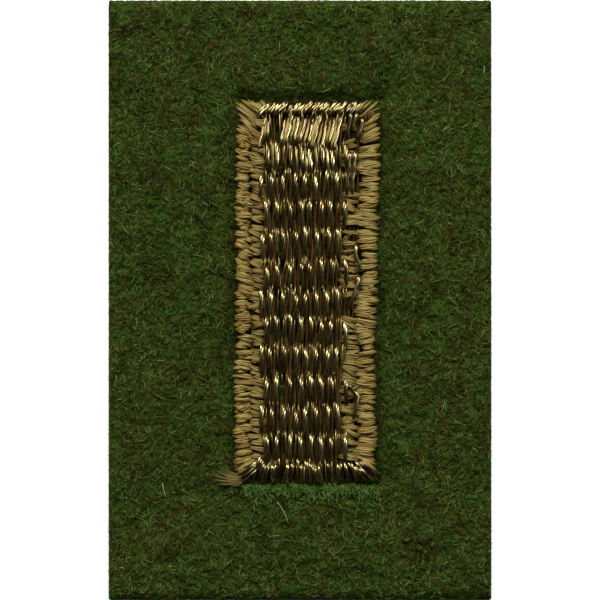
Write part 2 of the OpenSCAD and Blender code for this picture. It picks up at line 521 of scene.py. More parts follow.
def ribbons(paths, strands, width, seed, faces_round=5, pinch=(0.35, 0.35)):
    """Untwisted thread along paths: its strands, each a closed tube of this width, lie side by
    side about three quarters of a width apart, lower by the square of their distance from the
    middle, and each strays to a side by up to a third of a width on its way. Towards the ends
    they draw together and thin, as those of plied threads do."""
    rng = np.random.default_rng(seed)
    n = len(paths)
    width = each(width, n)
    side = sideways(paths)
    place, full = tapered(paths, pinch, 3)
    parts = []
    for strand in range(strands):
        off = 0.76 * (strand - (strands - 1) / 2) * full
        phase = rng.uniform(0, TAU, (n, 1))
        off = off + 0.34 * np.sin(2.2 * place + phase) * (1 - place**2)
        up = rng.normal(0, 0.12, (n, 1)) - 0.16 * off**2
        centre = paths + (off * width)[..., None] * side + (up * width)[..., None] * (0, 0, 1)
        size = width / 2 * full * rng.uniform(0.85, 1.15, (n, 1))
        cell = rng.integers(0, CELL_NUMBERS, n)
        parts.append(tubes(centre, side, size, 0.85 * size, faces_round, cell, THREAD_ATLAS))
    return parts


def evenly(low, high, pitch, rng, wander=0.1):
    """Places from low to high at about this pitch, each moved a little."""
    n = max(int(round((high - low) / pitch)), 2)
    return low + (np.arange(n) + 0.5 + rng.normal(0, wander, n)) * (high - low) / n


def satin(axis, low, high, outer, inner, fan, pitch, ragged, loose, rng, bunch=0.45):
    """Outer and inner ends of the stitches that close one side of the bar along an axis, from
    low to high. The fan gives, for shares of that length, how far the outer and the inner ends
    are moved along the side, and how far the inner ends are moved further in. The outer ends
    lie one pitch apart, but drawn together in bunches by up to the share bunch of it, and one
    that would pass a corner of the bar turns along the next side. The ends miss their places by
    about ragged on the outside and loose on the inside."""
    place, out_move, in_move, deeper = np.asarray(fan).T
    along = low + place * (high - low)
    out_at = along + out_move * MM
    out_along = evenly(out_at[0], out_at[-1], pitch, rng, 0.3)
    out_along = out_along + bunch * pitch * noise(out_along, 0, 0.5 * MM, 26)
    n = len(out_along)
    in_along = np.interp(out_along, out_at, along + in_move * MM) + rng.normal(0, 0.7 * loose, n)
    in_along = in_along + 0.5 * pitch * noise(in_along, 0, 0.45 * MM, 27)
    outward = np.sign(outer - inner)
    in_across = inner - outward * np.interp(out_along, out_at, deeper) * MM
    in_across = in_across + rng.normal(0, loose, n)
    past = np.maximum(out_along - BAR_HIGH[axis], 0) + np.minimum(out_along - BAR_LOW[axis], 0)
    miss = ragged * np.clip(rng.normal(0, 1, n), -1.8, 1.3)
    turned = past != 0
    out_along = out_along - past + np.where(turned, miss, 0) * np.sign(past)
    out_across = outer - outward * np.abs(past) + np.where(turned, 0, miss) * outward
    if axis == 1:
        return stacked(out_across, out_along), stacked(in_across, in_along)
    return stacked(out_along, out_across), stacked(in_along, in_across)


def laid(places, low, high, height, gold, seed, pinch):
    """Gold threads laid straight along the bar at these places across it, from low to high at
    this height: they fill the hollows under the stitches over them. Each wanders to its two
    sides a little, by a noise of its own."""
    rings = int((high - low) / LAID_STEP)
    start, end = stacked(places, low), stacked(places, high)
    paths = arched(start, end, SEAT_Z - 0.1 * MM, height, rings, exponent=60)
    paths[..., 1] = low + (high - low) * np.linspace(0, 1, rings)
    paths[..., 0] += LAID_WANDER * noise(paths[..., 0] * 40, paths[..., 1], 1.3 * MM, seed)
    return plied(paths, 2, 0.9 * gold.width, gold.twist, seed, 5, pinch=(pinch, pinch))


# Materials

BLACK, WHITE = (0.0, 0.0, 0.0), (1.0, 1.0, 1.0)
# Names of the materials that several pieces share
SATIN, FOIL, NAP = "satin_thread", "foil_thread", "wool_fibre"


def new_material(name):
    """A node material with one Principled shader, and a helper that adds and links nodes."""
    material = bpy.data.materials.new(name)
    material.use_nodes = True
    tree = material.node_tree
    shader = tree.nodes["Principled BSDF"]

    def node(kind, settings=(), **inputs):
        """A new node with these settings. Its inputs, by name, or by number after an i, get
        values or links."""
        made = tree.nodes.new(kind)
        for key, value in dict(settings).items():
            setattr(made, key, value)
        for key, value in inputs.items():
            numbered = key[0] == "i" and key[1:].isdigit()
            socket = made.inputs[int(key[1:])] if numbered else made.inputs[key]
            if isinstance(value, bpy.types.NodeSocket):
                tree.links.new(value, socket)
            else:
                socket.default_value = value
        return made

    return material, tree, shader, node


def plain_material(name, shade, roughness):
    """A material of one colour and one roughness all over."""
    material = new_material(name)[0]
    shader = material.node_tree.nodes["Principled BSDF"]
    shader.inputs["Base Color"].default_value = (*shade, 1)
    shader.inputs["Roughness"].default_value = roughness
    return material


def ramp(node, factor, stops):
    """A colour ramp through (place, colour) stops."""
    made = node("ShaderNodeValToRGB", Fac=factor)
    elements = made.color_ramp.elements
    while len(elements) < len(stops):
        elements.new(0.5)
    for element, (place, rgb) in zip(elements, stops):
        element.position = place
        element.color = (*rgb, 1)
    return made.outputs["Color"]


def vector_math(node, operation, **inputs):
    """The vector that one of Blender's vector operations gives."""
    return node("ShaderNodeVectorMath", {"operation": operation}, **inputs).outputs[0]


def cell_numbers(node, uv, atlas):
    """The whole numbers of the column and the row of the atlas cell that a UV lies in."""
    scaled = vector_math(node, "MULTIPLY", i0=uv, i1=(*atlas, 1))
    return vector_math(node, "FLOOR", i0=scaled)


def cell_value(node, uv, atlas):
    """A random number for each cell of an atlas: white noise of the cell's whole numbers."""
    moved = vector_math(node, "ADD", i0=cell_numbers(node, uv, atlas), i1=(1, 0.5, 0))
    noises = node("ShaderNodeTexWhiteNoise", {"noise_dimensions": "3D"}, Vector=moved)
    return noises.outputs["Value"]


def mixed(node, blend, factor, first, second):
    """Two colours mixed in one of Blender's blend modes."""
    return node(
        "ShaderNodeMix", {"data_type": "RGBA", "blend_type": blend}, i0=factor, i6=first, i7=second
    ).outputs[2]


def tinted(shades, tint):
    """Several shades, each multiplied by a tint, channel by channel."""
    return [tuple(part * value for part, value in zip(tint, shade)) for shade in shades]


def thread_material(name, shades, metallic, roughness, bump=0.2, low=0.5, gloss=0.3):
    """Thread: each strand has a shade of its own between the deep, the middle and the pale one.
    Fine filaments run along it in colour and bump, the darkest of which keep the share low of
    the colour, and it is painted browner at its two ends, as painted shade where it dives into the
    felt."""
    material, tree, shader, node = new_material(name)
    uv = node("ShaderNodeUVMap", {"uv_map": UV}).outputs["UV"]
    shade = cell_value(node, uv, THREAD_ATLAS)
    base = ramp(node, shade, list(zip((0.0, 0.45, 1.0), shades)))
    stretched = node("ShaderNodeMapping", i0=uv, i3=(60, 7, 1))
    filaments = node(
        "ShaderNodeTexNoise", Vector=stretched.outputs[0], Scale=1.0, Detail=3.0, Roughness=0.6
    ).outputs["Fac"]
    dark = (low, 0.92 * low, 0.84 * low)
    streak = ramp(node, filaments, [(0.32, dark), (0.62, WHITE)])
    scaled = vector_math(node, "MULTIPLY", i0=uv, i1=(1, THREAD_ATLAS[1], 1))
    inside = vector_math(node, "FRACTION", i0=scaled)
    along = node("ShaderNodeSeparateXYZ", i0=inside).outputs[1]
    # Painted shade: each strand is browner towards both its ends, where it dives between its
    # neighbours
    brown = (0.58, 0.47, 0.34)
    ends = ramp(node, along, [(0.06, brown), (0.2, WHITE), (0.78, WHITE), (0.94, brown)])
    streaked = mixed(node, "MULTIPLY", 1.0, base, streak)
    tree.links.new(mixed(node, "MULTIPLY", 1.0, streaked, ends), shader.inputs["Base Color"])
    relief = node("ShaderNodeBump", Strength=bump, Distance=0.02 * MM, Height=filaments)
    tree.links.new(relief.outputs[0], shader.inputs["Normal"])
    shader.inputs["Metallic"].default_value = metallic
    shader.inputs["Roughness"].default_value = roughness
    shader.inputs["Specular IOR Level"].default_value = gloss
    return material


def nap_material(felt, atlas):
    """Wool fibres: the atlas column sets how light a fibre is and the row its hue."""
    material, tree, shader, node = new_material(NAP)
    uv = node("ShaderNodeUVMap", {"uv_map": UV}).outputs["UV"]
    part = node("ShaderNodeSeparateXYZ", i0=cell_numbers(node, uv, atlas))
    light = node("ShaderNodeMath", {"operation": "DIVIDE"}, i0=part.outputs[0], i1=atlas[0] - 1)
    hue = node("ShaderNodeMath", {"operation": "DIVIDE"}, i0=part.outputs[1], i1=atlas[1] - 1)
    hues = ramp(node, hue.outputs[0], [(0.0, felt.brown), (0.5, felt.olive), (1.0, felt.green)])
    tone = ramp(node, light.outputs[0], [(0.0, (0.2, 0.2, 0.2)), (0.6, WHITE)])
    toned = mixed(node, "MULTIPLY", 1.0, hues, tone)
    pale = ramp(node, light.outputs[0], [(0.5, BLACK), (1.0, WHITE)])
    base = mixed(node, "MIX", pale, toned, (*felt.bright, 1))
    tree.links.new(base, shader.inputs["Base Color"])
    shader.inputs["Roughness"].default_value = 0.75
    shader.inputs["Specular IOR Level"].default_value = 0.02
    return material


def felt_material(felt):
    """The felt's core: dark matted wool, cloudy in patches and finely fibrous all over. Its
    darkest patches are painted shade of the hollows deep between the fibres.
    """
    material, tree, shader, node = new_material("felt_core")
    place = node("ShaderNodeTexCoord").outputs["Object"]
    clouds = node("ShaderNodeTexNoise", Vector=place, Scale=700.0, Detail=4.0, Roughness=0.6)
    fine = node(
        "ShaderNodeTexNoise", Vector=place, Scale=9000.0, Detail=3.0, Roughness=0.7, Distortion=1.2
    )
    # The darkest patches of the core are painted shade of the hollows between the fibres
    stops = [(0.3, felt.hollow_shade), (0.5, felt.olive), (0.7, felt.green)]
    patches = ramp(node, clouds.outputs["Fac"], stops)
    grain = ramp(node, fine.outputs["Fac"], [(0.3, (0.35, 0.35, 0.35)), (0.7, WHITE)])
    tree.links.new(mixed(node, "MULTIPLY", 1.0, patches, grain), shader.inputs["Base Color"])
    bump = node("ShaderNodeBump", Strength=0.8, Distance=0.08 * MM, Height=fine.outputs["Fac"])
    tree.links.new(bump.outputs[0], shader.inputs["Normal"])
    shader.inputs["Roughness"].default_value = 0.95
    shader.inputs["Specular IOR Level"].default_value = 0.03
    return material


# Felt

# Columns and rows of the nap's atlas: a fibre's column is its shade and its row its hue
NAP_ATLAS = (32, 8)
NAP_PIECES = 4
# What the shade of the fibres of the edges and the back gets on top, so that they are darker
# than those of the face
EDGE_SHADE = -0.06
# How far the felt's core stops short of the cloth's outline, to leave room for its fibres
RIM = 0.06 * MM
# How much lower the felt's face is at its edges, and how far in from them it is lower
EDGE_DROP, EDGE_WIDTH = 0.25 * MM, 0.5 * MM
# Height of the lowest fibres of the cut edges
EDGE_FOOT = 0.06 * MM
# How far the felt's back, between its fibres, lies over what the tab lies on
BACK_GAP = 0.05 * MM
# Rings of the wall between the rims of the felt's face and back
WALL_ROWS = 7
# Share of the way out from the middle past which a place on the rim belongs to that side
SIDE_SHARE = 0.985
# Share of the nap's fibres that run about along the cloth, share that is left inside the bar,
# and how much longer the fibres of the last piece are
ALONG_SHARE, INSIDE_SHARE, LONGER = 0.4, 0.25, 1.35
# How high the fibres inside the bar stand at most
INSIDE_HEIGHT = 0.1 * MM
# Just above the bar, how much lower the fibres are and how far they turn to point down to it
ABOVE_LOWER, ABOVE_TURNED = 0.75, 0.7
# What the fibres' shade gets on top beside and above the bar, as painted shade, and below it, as
# painted light, and their hue below it
BESIDE_PAINTED_SHADE, ABOVE_PAINTED_SHADE, BELOW_PAINTED_LIGHT, BELOW_HUE = -0.25, -0.3, 0.16, 0.35


def rounded_off(x, y):
    """How much lower the felt is near its edges: the whole drop at the edge, falling to nothing
    at its width in from there, as a smoothstep."""
    dx = np.minimum(x - CLOTH_LOW[0], CLOTH_HIGH[0] - x) - RIM
    dy = np.minimum(y - CLOTH_LOW[1], CLOTH_HIGH[1] - y) - RIM
    return EDGE_DROP * (1 - smooth(np.minimum(dx, dy) / EDGE_WIDTH))


def felt_sheet(felt):
    """One closed sheet: an upper and a lower grid over the cloth's rectangle, joined by a wall
    of rings round their rims. The upper grid has the felt's height, the lower one lies flat,
    and the wall bulges as a half round, out and back between them."""
    low, high = CLOTH_LOW, CLOTH_HIGH
    nx = int(round((high[0] - low[0]) / felt.cell))
    ny = int(round((high[1] - low[1]) / felt.cell))
    x = np.linspace(low[0] + RIM, high[0] - RIM, nx + 1)
    y = np.linspace(low[1] + RIM, high[1] - RIM, ny + 1)
    gx, gy = np.meshgrid(x, y, indexing="ij")
    grain = noise(gx, gy, 0.3 * MM, 13)
    top = felt_top(gx, gy, felt) + 0.03 * MM * grain - rounded_off(gx, gy)
    upper = stacked(gx, gy, top)
    recess = BACK_HIGH[2] * smooth(inside_bar(gx, gy) / (0.3 * MM))
    lower = stacked(gx, gy, low[2] + BACK_GAP + recess + 0.02 * MM * grain)
    index = np.arange((nx + 1) * (ny + 1)).reshape(nx + 1, ny + 1)
    a, b, c, d = index[:-1, :-1], index[1:, :-1], index[1:, 1:], index[:-1, 1:]
    faces = [stacked(a, b, c, d).reshape(-1, 4)]
    faces.append(stacked(a, d, c, b).reshape(-1, 4) + index.size)
    loop = np.concatenate([index[:-1, 0], index[-1, :-1], index[:0:-1, -1], index[0, :0:-1]])
    top_ring, bottom_ring = upper.reshape(-1, 3)[loop], lower.reshape(-1, 3)[loop]
    outward = top_ring[:, :2] - (low + high)[:2] / 2
    outward = outward / ((high - low)[:2] / 2)
    outward = unit(np.where(np.abs(outward) > SIDE_SHARE, outward, 0))
    outward = stacked(outward[:, 0], outward[:, 1], 0)
    s = np.linspace(0, 1, WALL_ROWS + 2)[1:-1, None, None]
    around = np.arange(len(loop))
    rough = noise(around[None, :], np.arange(WALL_ROWS)[:, None] * 3.0, 2.0, 14)[..., None]
    wall = top_ring * (1 - s) + bottom_ring * s
    wall = wall + RIM * (0.6 * np.sin(math.pi * s) + 0.3 * rough) * outward
    base = 2 * index.size
    rings = [loop] + [base + row * len(loop) + around for row in range(WALL_ROWS)]
    rings.append(loop + index.size)
    for above, below in zip(rings[:-1], rings[1:]):
        faces.append(stacked(above, below, np.roll(below, -1), np.roll(above, -1)))
    points = np.concatenate([upper.reshape(-1, 3), lower.reshape(-1, 3), wall.reshape(-1, 3)])
    faces = np.concatenate(faces)
    corners = faces.reshape(-1)
    uv = (points[corners, :2] - low[:2]) / (high - low)[:2]
    return points, corners, np.full(len(faces), 4), uv


def folded(places, low, high):
    """Places that pass a limit, turned back inside it by as much."""
    places = low + np.abs(places - low)
    return high - np.abs(high - places)


def on_cloth(x, y):
    """Places that pass an edge of the cloth, turned back inside it."""
    low, high = CLOTH_LOW + RIM, CLOTH_HIGH - RIM
    return folded(x, low[0], high[0]), folded(y, low[1], high[1])


def curled(x, y, heading, size, rng, rings=3):
    """Flat curls: each starts at x, y and turns at a steady rate as it goes, so that its
    heading is heading + rate * s, where s runs from 0 to 1 along it. Gives x, y and s."""
    rate = rng.normal(0, 1.0, len(x))
    s = np.linspace(0, 1, rings)[None, :]
    angle = heading[:, None] + rate[:, None] * (s - 0.5)
    step = size[:, None] / (rings - 1)
    dx = np.cumsum(np.cos(angle) * step, 1) - np.cos(angle[:, :1]) * step
    dy = np.cumsum(np.sin(angle) * step, 1) - np.sin(angle[:, :1]) * step
    return x[:, None] + dx, y[:, None] + dy, s


def bowed(s):
    """How high a curled fibre stands at the share s of its length: part of a half sine, which
    starts just over its root and ends before it comes down."""
    return np.sin(math.pi * (0.06 + 0.8 * s))


def fibre_paths(x, y, heading, size, height, felt, rng, rings=3):
    """Curled fibres on the face: each rises out of the felt's core and bends back, and one that
    would pass the cloth's edge turns back."""
    px, py, s = curled(x, y, heading, size, rng, rings)
    px, py = on_cloth(px, py)
    rise = height[:, None] * bowed(s) - 0.02 * MM
    return stacked(px, py, felt_top(px, py, felt) + rise - rounded_off(px, py))


def wool(paths, felt, rng, lighter=0.0, greener=0.0):
    """Fibres as spindles. Their shade follows cloudy patches of three sizes, with a share of its
    own for each fibre."""
    n = len(paths)
    x, y = paths[:, 1, 0], paths[:, 1, 1]
    tone = 0.43 + 0.2 * np.clip(rng.normal(0, 1, n), -2.2, 2.2) + lighter
    tone = layered(tone, x, y, SHADE_PATCHES)
    hue = layered(0.52 + 0.12 * rng.normal(0, 1, n) + greener, x, y, HUE_PATCHES)
    columns, rows = NAP_ATLAS
    column = np.clip(tone * columns, 0, columns - 1).astype(int)
    row = np.clip(hue * rows, 0, rows - 1).astype(int)
    width = felt.fibre_width / 2 * rng.uniform(0.6, 1.3, (n, 1)) + 0 * paths[..., 0]
    side = left_of(np.gradient(paths, axis=1))
    return spindles(paths, side, width, row * columns + column, NAP_ATLAS)


def nap_fibres(number, felt):
    """The fibres of one piece of the nap. Some run about along the cloth and the others any way,
    and those of the last piece are longer. Above the bar they lie flat and point down to it.
    Inside it few are left, and low. Beside and above it they are darker, as painted shade, and
    below it lighter, as painted light, and greener."""
    rng = np.random.default_rng(100 + number)
    n = felt.fibres // NAP_PIECES
    x = rng.uniform(CLOTH_LOW[0], CLOTH_HIGH[0], n)
    y = rng.uniform(CLOTH_LOW[1], CLOTH_HIGH[1], n)
    upright = rng.normal(math.pi / 2, 0.6, n)
    heading = np.where(rng.uniform(0, 1, n) < ALONG_SHARE, upright, rng.uniform(0, TAU, n))
    last = number == NAP_PIECES - 1
    size = felt.fibre_length * rng.uniform(0.5, 1.5, n) * (LONGER if last else 1.0)
    height = felt.nap_height * rng.uniform(0.1, 1.0, n) ** 1.5
    near = nearness(x, y, felt)
    above = near * (y > BAR_HIGH[1])
    height = height * (1 - ABOVE_LOWER * above)
    heading = heading * (1 - ABOVE_TURNED * above) - math.pi / 2 * ABOVE_TURNED * above
    within = inside_bar(x, y) > 0
    height = np.where(within, np.minimum(height, INSIDE_HEIGHT), height)
    keep = ~within | (rng.uniform(0, 1, n) < INSIDE_SHARE)
    start = (part[keep] for part in (x, y, heading, size, height))
    paths = fibre_paths(*start, felt, rng, rings=4 if last else 3)
    # Painted shade beside and above the bar, and painted light below it, added to the fibres'
    # shade
    beside = near * (y > BAR_LOW[1])
    below = below_bar(x, y)
    lighter = BESIDE_PAINTED_SHADE * beside + ABOVE_PAINTED_SHADE * above + BELOW_PAINTED_LIGHT * below
    return wool(paths, felt, rng, lighter[keep], BELOW_HUE * below[keep])


class RANKTAB_OT_felt(Operator):
    """Make the felt sheet"""

    bl_idname = "ranktab.felt"
    bl_label = "Felt"

    def execute(self, context):
        felt = context.scene.rank_tab_felt
        piece = make_object("felt_cloth", [felt_sheet(felt)], felt_material(felt))
        finish_piece(piece, "felt", "cloth_tab")
        return {"FINISHED"}


class RANKTAB_OT_nap(Operator):
    """Make the nap of the felt's face, in a few pieces"""

    bl_idname = "ranktab.nap"
    bl_label = "Nap"

    def execute(self, context):
        felt = context.scene.rank_tab_felt
        material = nap_material(felt, NAP_ATLAS)
        for number in range(NAP_PIECES):
            piece = make_object(f"nap_{number + 1}", [nap_fibres(number, felt)], material)
            finish_piece(piece, "felt")
        return {"FINISHED"}


class RANKTAB_OT_edges(Operator):
    """Make the fibres on the cut edges of the felt"""

    bl_idname = "ranktab.edges"
    bl_label = "Cut edges"

    def execute(self, context):
        felt = context.scene.rank_tab_felt
        rng = np.random.default_rng(121)
        middle = (CLOTH_LOW + CLOTH_HIGH) / 2
        half = (CLOTH_HIGH - CLOTH_LOW) / 2
        top = CLOTH_HIGH[2] - felt.nap_height - 0.2 * MM
        parts = []
        for axis in (0, 1):
            n = int(felt.edge_fibres * half[1 - axis] / (half[0] + half[1]))
            along = rng.uniform(-half[1 - axis], half[1 - axis], n)
            level = rng.uniform(0.1 * MM, top, n)
            heading = rng.uniform(0, TAU, n)
            size = felt.fibre_length * rng.uniform(0.35, 0.9, n)
            along, level, s = curled(along, level, heading, size, rng)
            reach = half[1 - axis] - RIM
            along = folded(along, -reach, reach) + middle[1 - axis]
            level = folded(level, EDGE_FOOT, top)
            outward = rng.choice((-1, 1), (n, 1))
            bulge = 0.35 * RIM + rng.uniform(0.1, 0.7, (n, 1)) * RIM * np.sin(math.pi * s)
            across = middle[axis] + outward * (half[axis] - RIM + bulge)
            order = (across, along) if axis == 0 else (along, across)
            parts.append(wool(stacked(*order, level), felt, rng, EDGE_SHADE))
        finish_piece(make_object("edge_nap", parts, bpy.data.materials[NAP]), "felt")
        return {"FINISHED"}


class RANKTAB_OT_back_nap(Operator):
    """Make the fibres that lie flat on the back of the felt"""

    bl_idname = "ranktab.back_nap"
    bl_label = "Back nap"

    def execute(self, context):
        felt = context.scene.rank_tab_felt
        rng = np.random.default_rng(131)
        n = felt.back_fibres
        x = rng.uniform(CLOTH_LOW[0], CLOTH_HIGH[0], n)
        y = rng.uniform(CLOTH_LOW[1], CLOTH_HIGH[1], n)
        size = felt.fibre_length * rng.uniform(0.6, 1.6, n)
        px, py, s = curled(x, y, rng.uniform(0, TAU, n), size, rng)
        px, py = on_cloth(px, py)
        out = rng.uniform(0.03, 0.05, (n, 1)) * MM
        pz = CLOTH_LOW[2] + 0.075 * MM - out * bowed(s)
        clear = (inside_bar(px, py) == 0).all(1)
        fibres = wool(stacked(px, py, pz)[clear], felt, rng, EDGE_SHADE)
        finish_piece(make_object("back_nap", [fibres], bpy.data.materials[NAP]), "felt")
        return {"FINISHED"}


# The few pale hairs on the felt: where each one starts, in mm, the bearing on which it runs and
# how far it turns on its way, in degrees, and how long it is, in mm
HAIRS = (
    (-1.64, -13.26, -48, -26, 1.60),
    (-9.13, -12.05, -84, 14, 0.95),
    (12.20, 15.60, -80, -30, 0.55),
)
# Half the thickness of a hair at its root, and the share of it that is gone at its tip
HAIR_HALF, HAIR_TAPER = 0.018 * MM, 0.6


class RANKTAB_OT_hairs(Operator):
    """Make the few pale hairs that lie on the felt"""

    bl_idname = "ranktab.hairs"
    bl_label = "Hairs"

    def execute(self, context):
        felt = context.scene.rank_tab_felt
        x, y, heading, turn, size = np.array(HAIRS).T
        s = np.linspace(0, 1, 9)
        angle = np.radians(heading[:, None] + turn[:, None] * s)
        step = size[:, None] * MM / (len(s) - 1)
        px = x[:, None] * MM + np.cumsum(np.cos(angle) * step, 1)
        py = y[:, None] * MM + np.cumsum(np.sin(angle) * step, 1)
        pz = CLOTH_HIGH[2] + 0.02 * MM * np.sin(3 * math.pi * s)[None, :] + 0 * px
        paths = stacked(px, py, pz)
        width = HAIR_HALF * (1 - HAIR_TAPER * s**3)[None, :] + 0 * px
        cell = np.arange(len(x))
        material = plain_material("hair", felt.hair, 0.6)
        hairs = tubes(paths, sideways(paths), width, width, 4, cell, THREAD_ATLAS)
        finish_piece(make_object("hairs", [hairs], material), "felt")
        return {"FINISHED"}


# How far the fringe reaches past the bar's left and its right side
FRINGE_PAST = (0.5 * MM, 0.4 * MM)
# How long its shortest and longest fibres are, and how high the lowest and highest stand, in mm
FRINGE_LENGTHS, FRINGE_HEIGHTS = (0.3, 0.8), (0.1, 0.36)


class RANKTAB_OT_fringe(Operator):
    """Make the fibres of wool that the stitching pushes up below the bar"""

    bl_idname = "ranktab.fringe"
    bl_label = "Fringe"

    def execute(self, context):
        felt = context.scene.rank_tab_felt
        rng = np.random.default_rng(111)
        n = felt.fringe_fibres
        x = rng.uniform(BAR_LOW[0] - FRINGE_PAST[0], BAR_HIGH[0] + FRINGE_PAST[1], n)
        reach = 0.25 + 0.2 * noise(x, 0, 0.8 * MM, 25)
        ragged = 0.12 + 0.12 * noise(x, 0, 0.4 * MM, 28) + rng.normal(0, 0.1, n)
        y = BAR_LOW[1] + ragged * MM - rng.exponential(reach * MM)
        heading = -math.pi / 2 + rng.normal(0, 0.55, n)
        size = rng.uniform(*FRINGE_LENGTHS, n) * MM
        height = rng.uniform(*FRINGE_HEIGHTS, n) * MM
        paths = fibre_paths(x, y, heading, size, height, felt, rng, 4)
        # Painted light: the fringe's fibres are lighter, and greener, as the nap just below the
        # bar is
        near = below_bar(x, np.minimum(y, BAR_LOW[1] - 0.01 * MM))
        fibres = wool(paths, felt, rng, BELOW_PAINTED_LIGHT * near, BELOW_HUE * near)
        finish_piece(make_object("fringe", [fibres], bpy.data.materials[NAP]), "felt")
        return {"FINISHED"}


# Borders

# How the stitches of the borders lean. Each row gives a share of the border's length, from its
# lower end at the sides and from its left end at the top and bottom, then how far the outer and
# the inner ends are moved along the border there, and how far the inner ends are moved further
# in, all in mm
LEFT_FAN = (
    (0.000, -0.05, 0.75, 0.00),
    (0.035, -0.10, 0.30, 0.00),
    (0.090, -0.05, 0.05, 0.00),
    (0.400, 0.00, -0.05, 0.00),
    (0.480, 0.08, -0.10, 0.00),
    (0.640, 0.18, -0.18, 0.00),
    (0.770, 0.10, -0.10, 0.00),
    (0.887, 0.10, -0.15, 0.00),
    (0.930, 0.20, -0.38, 0.22),
    (0.962, 0.50, -0.62, 0.65),
    (1.000, 1.60, -0.80, 1.25),
)
RIGHT_FAN = (
    (0.000, -0.45, 0.80, 0.45),
    (0.030, -0.15, 0.35, 0.15),
    (0.080, 0.00, 0.00, 0.00),
    (0.770, 0.00, 0.00, 0.00),
    (0.850, 0.12, -0.14, 0.00),
    (0.900, 0.30, -0.18, 0.00),
    (0.940, 0.56, -0.34, 0.05),
    (1.000, 1.25, -0.66, 0.40),
)
TOP_FAN = (
    (0.00, 0.30, -0.25, 0.10),
    (0.50, 0.35, -0.15, 0.00),
    (1.00, 0.35, -0.30, 0.10),
)
BOTTOM_FAN = (
    (0.00, -0.85, 1.15, 0.20),
    (0.10, -0.10, 0.55, 0.00),
    (0.22, 0.00, 0.05, 0.00),
    (0.75, 0.00, -0.05, 0.00),
    (0.88, 0.15, -0.60, 0.00),
    (1.00, 0.85, -1.35, 0.15),
)

# Places on the side borders, as heights over the bar's middle, and how far their outer edges
# stand out of a straight line there, all in mm
LEFT_SWELLS = (
    (-11.5, 0.05),
    (-9.5, 0.15),
    (-5.5, 0.15),
    (-4.0, 0.00),
    (1.7, -0.04),
    (6.0, 0.05),
    (8.0, 0.00),
    (10.0, -0.10),
    (12.0, -0.14),
)
RIGHT_SWELLS = (
    (-11.5, -0.15),
    (-10.0, -0.07),
    (-8.3, -0.18),
    (-3.3, -0.17),
    (0.0, 0.00),
    (1.7, -0.08),
    (4.0, 0.10),
    (6.6, 0.00),
    (8.3, 0.15),
    (12.0, 0.15),
)


class SideBorder(NamedTuple):
    """One of the two side borders. Outer and inner are the places of its edges across the bar,
    and low is the height at which its stitches start. They lie the share pitch of the thread's
    pitch apart, drawn together in bunches by the share bunch of it. Towards the upper end they
    are thinner by the share thinner, and the shares missing and core_missing of the upper and
    of the lower layer are left out."""

    outer: float
    inner: float
    low: float
    fan: tuple
    swells: tuple
    pitch: float
    bunch: float
    thinner: float
    missing: float
    core_missing: float
    seed: int


SIDES = {
    "left": SideBorder(
        outer=LEFT_LOW[0],
        inner=LEFT_HIGH[0],
        low=BAR_LOW[1] + 0.55 * MM,
        fan=LEFT_FAN,
        swells=LEFT_SWELLS,
        pitch=0.88,
        bunch=0.2,
        thinner=0.5,
        missing=0.0,
        core_missing=0.0,
        seed=41,
    ),
    "right": SideBorder(
        outer=RIGHT_HIGH[0],
        inner=RIGHT_LOW[0],
        low=BAR_LOW[1] + 1.0 * MM,
        fan=RIGHT_FAN,
        swells=RIGHT_SWELLS,
        pitch=1.0,
        bunch=0.5,
        thinner=0.6,
        missing=0.1,
        core_missing=0.8,
        seed=42,
    ),
}
# How far the lower layer lies inward of the upper one, and how far below it
CORE_INWARD, CORE_BELOW = 0.1 * MM, 0.15 * MM
# By about how much the inner ends miss their places, and how far and on which lattice their
# seam waves
SIDE_LOOSE, SEAM, SEAM_CELL = 0.18 * MM, 0.24 * MM, 0.55 * MM
# How far below the upper end the side borders start to change, and on what length they do it
TOP_START, TOP_SPAN = 3.0 * MM, 1.5 * MM


def side_stitches(side, thread, inward, bunch, missing, rng):
    """Outer and inner ends of one layer of a side border's stitches, and how near each one is
    to the upper end, where a share of them is missing. The outer ends follow the border's
    swells, and the inner ends a wavy seam that straightens towards the upper end."""
    outward = np.sign(side.outer - side.inner)
    outer, inner = side.outer - outward * inward, side.inner - outward * inward
    high = BAR_HIGH[1]
    pitch, ragged = thread.pitch * side.pitch, thread.ragged
    out, into = satin(
        1, side.low, high, outer, inner, side.fan, pitch, ragged, SIDE_LOOSE, rng, bunch
    )
    near_top = smooth((into[:, 1] - high + TOP_START) / TOP_SPAN)
    out[:, 0] += outward * np.interp(out[:, 1] - BAR_MIDDLE[1], *np.array(side.swells).T * MM)
    seam = SEAM * noise(into[:, 1], outer, SEAM_CELL, 34)
    into[:, 0] -= outward * seam * (1 - near_top)
    kept = rng.uniform(0, 1, len(out)) >= missing * near_top
    return out[kept], into[kept], near_top[kept]


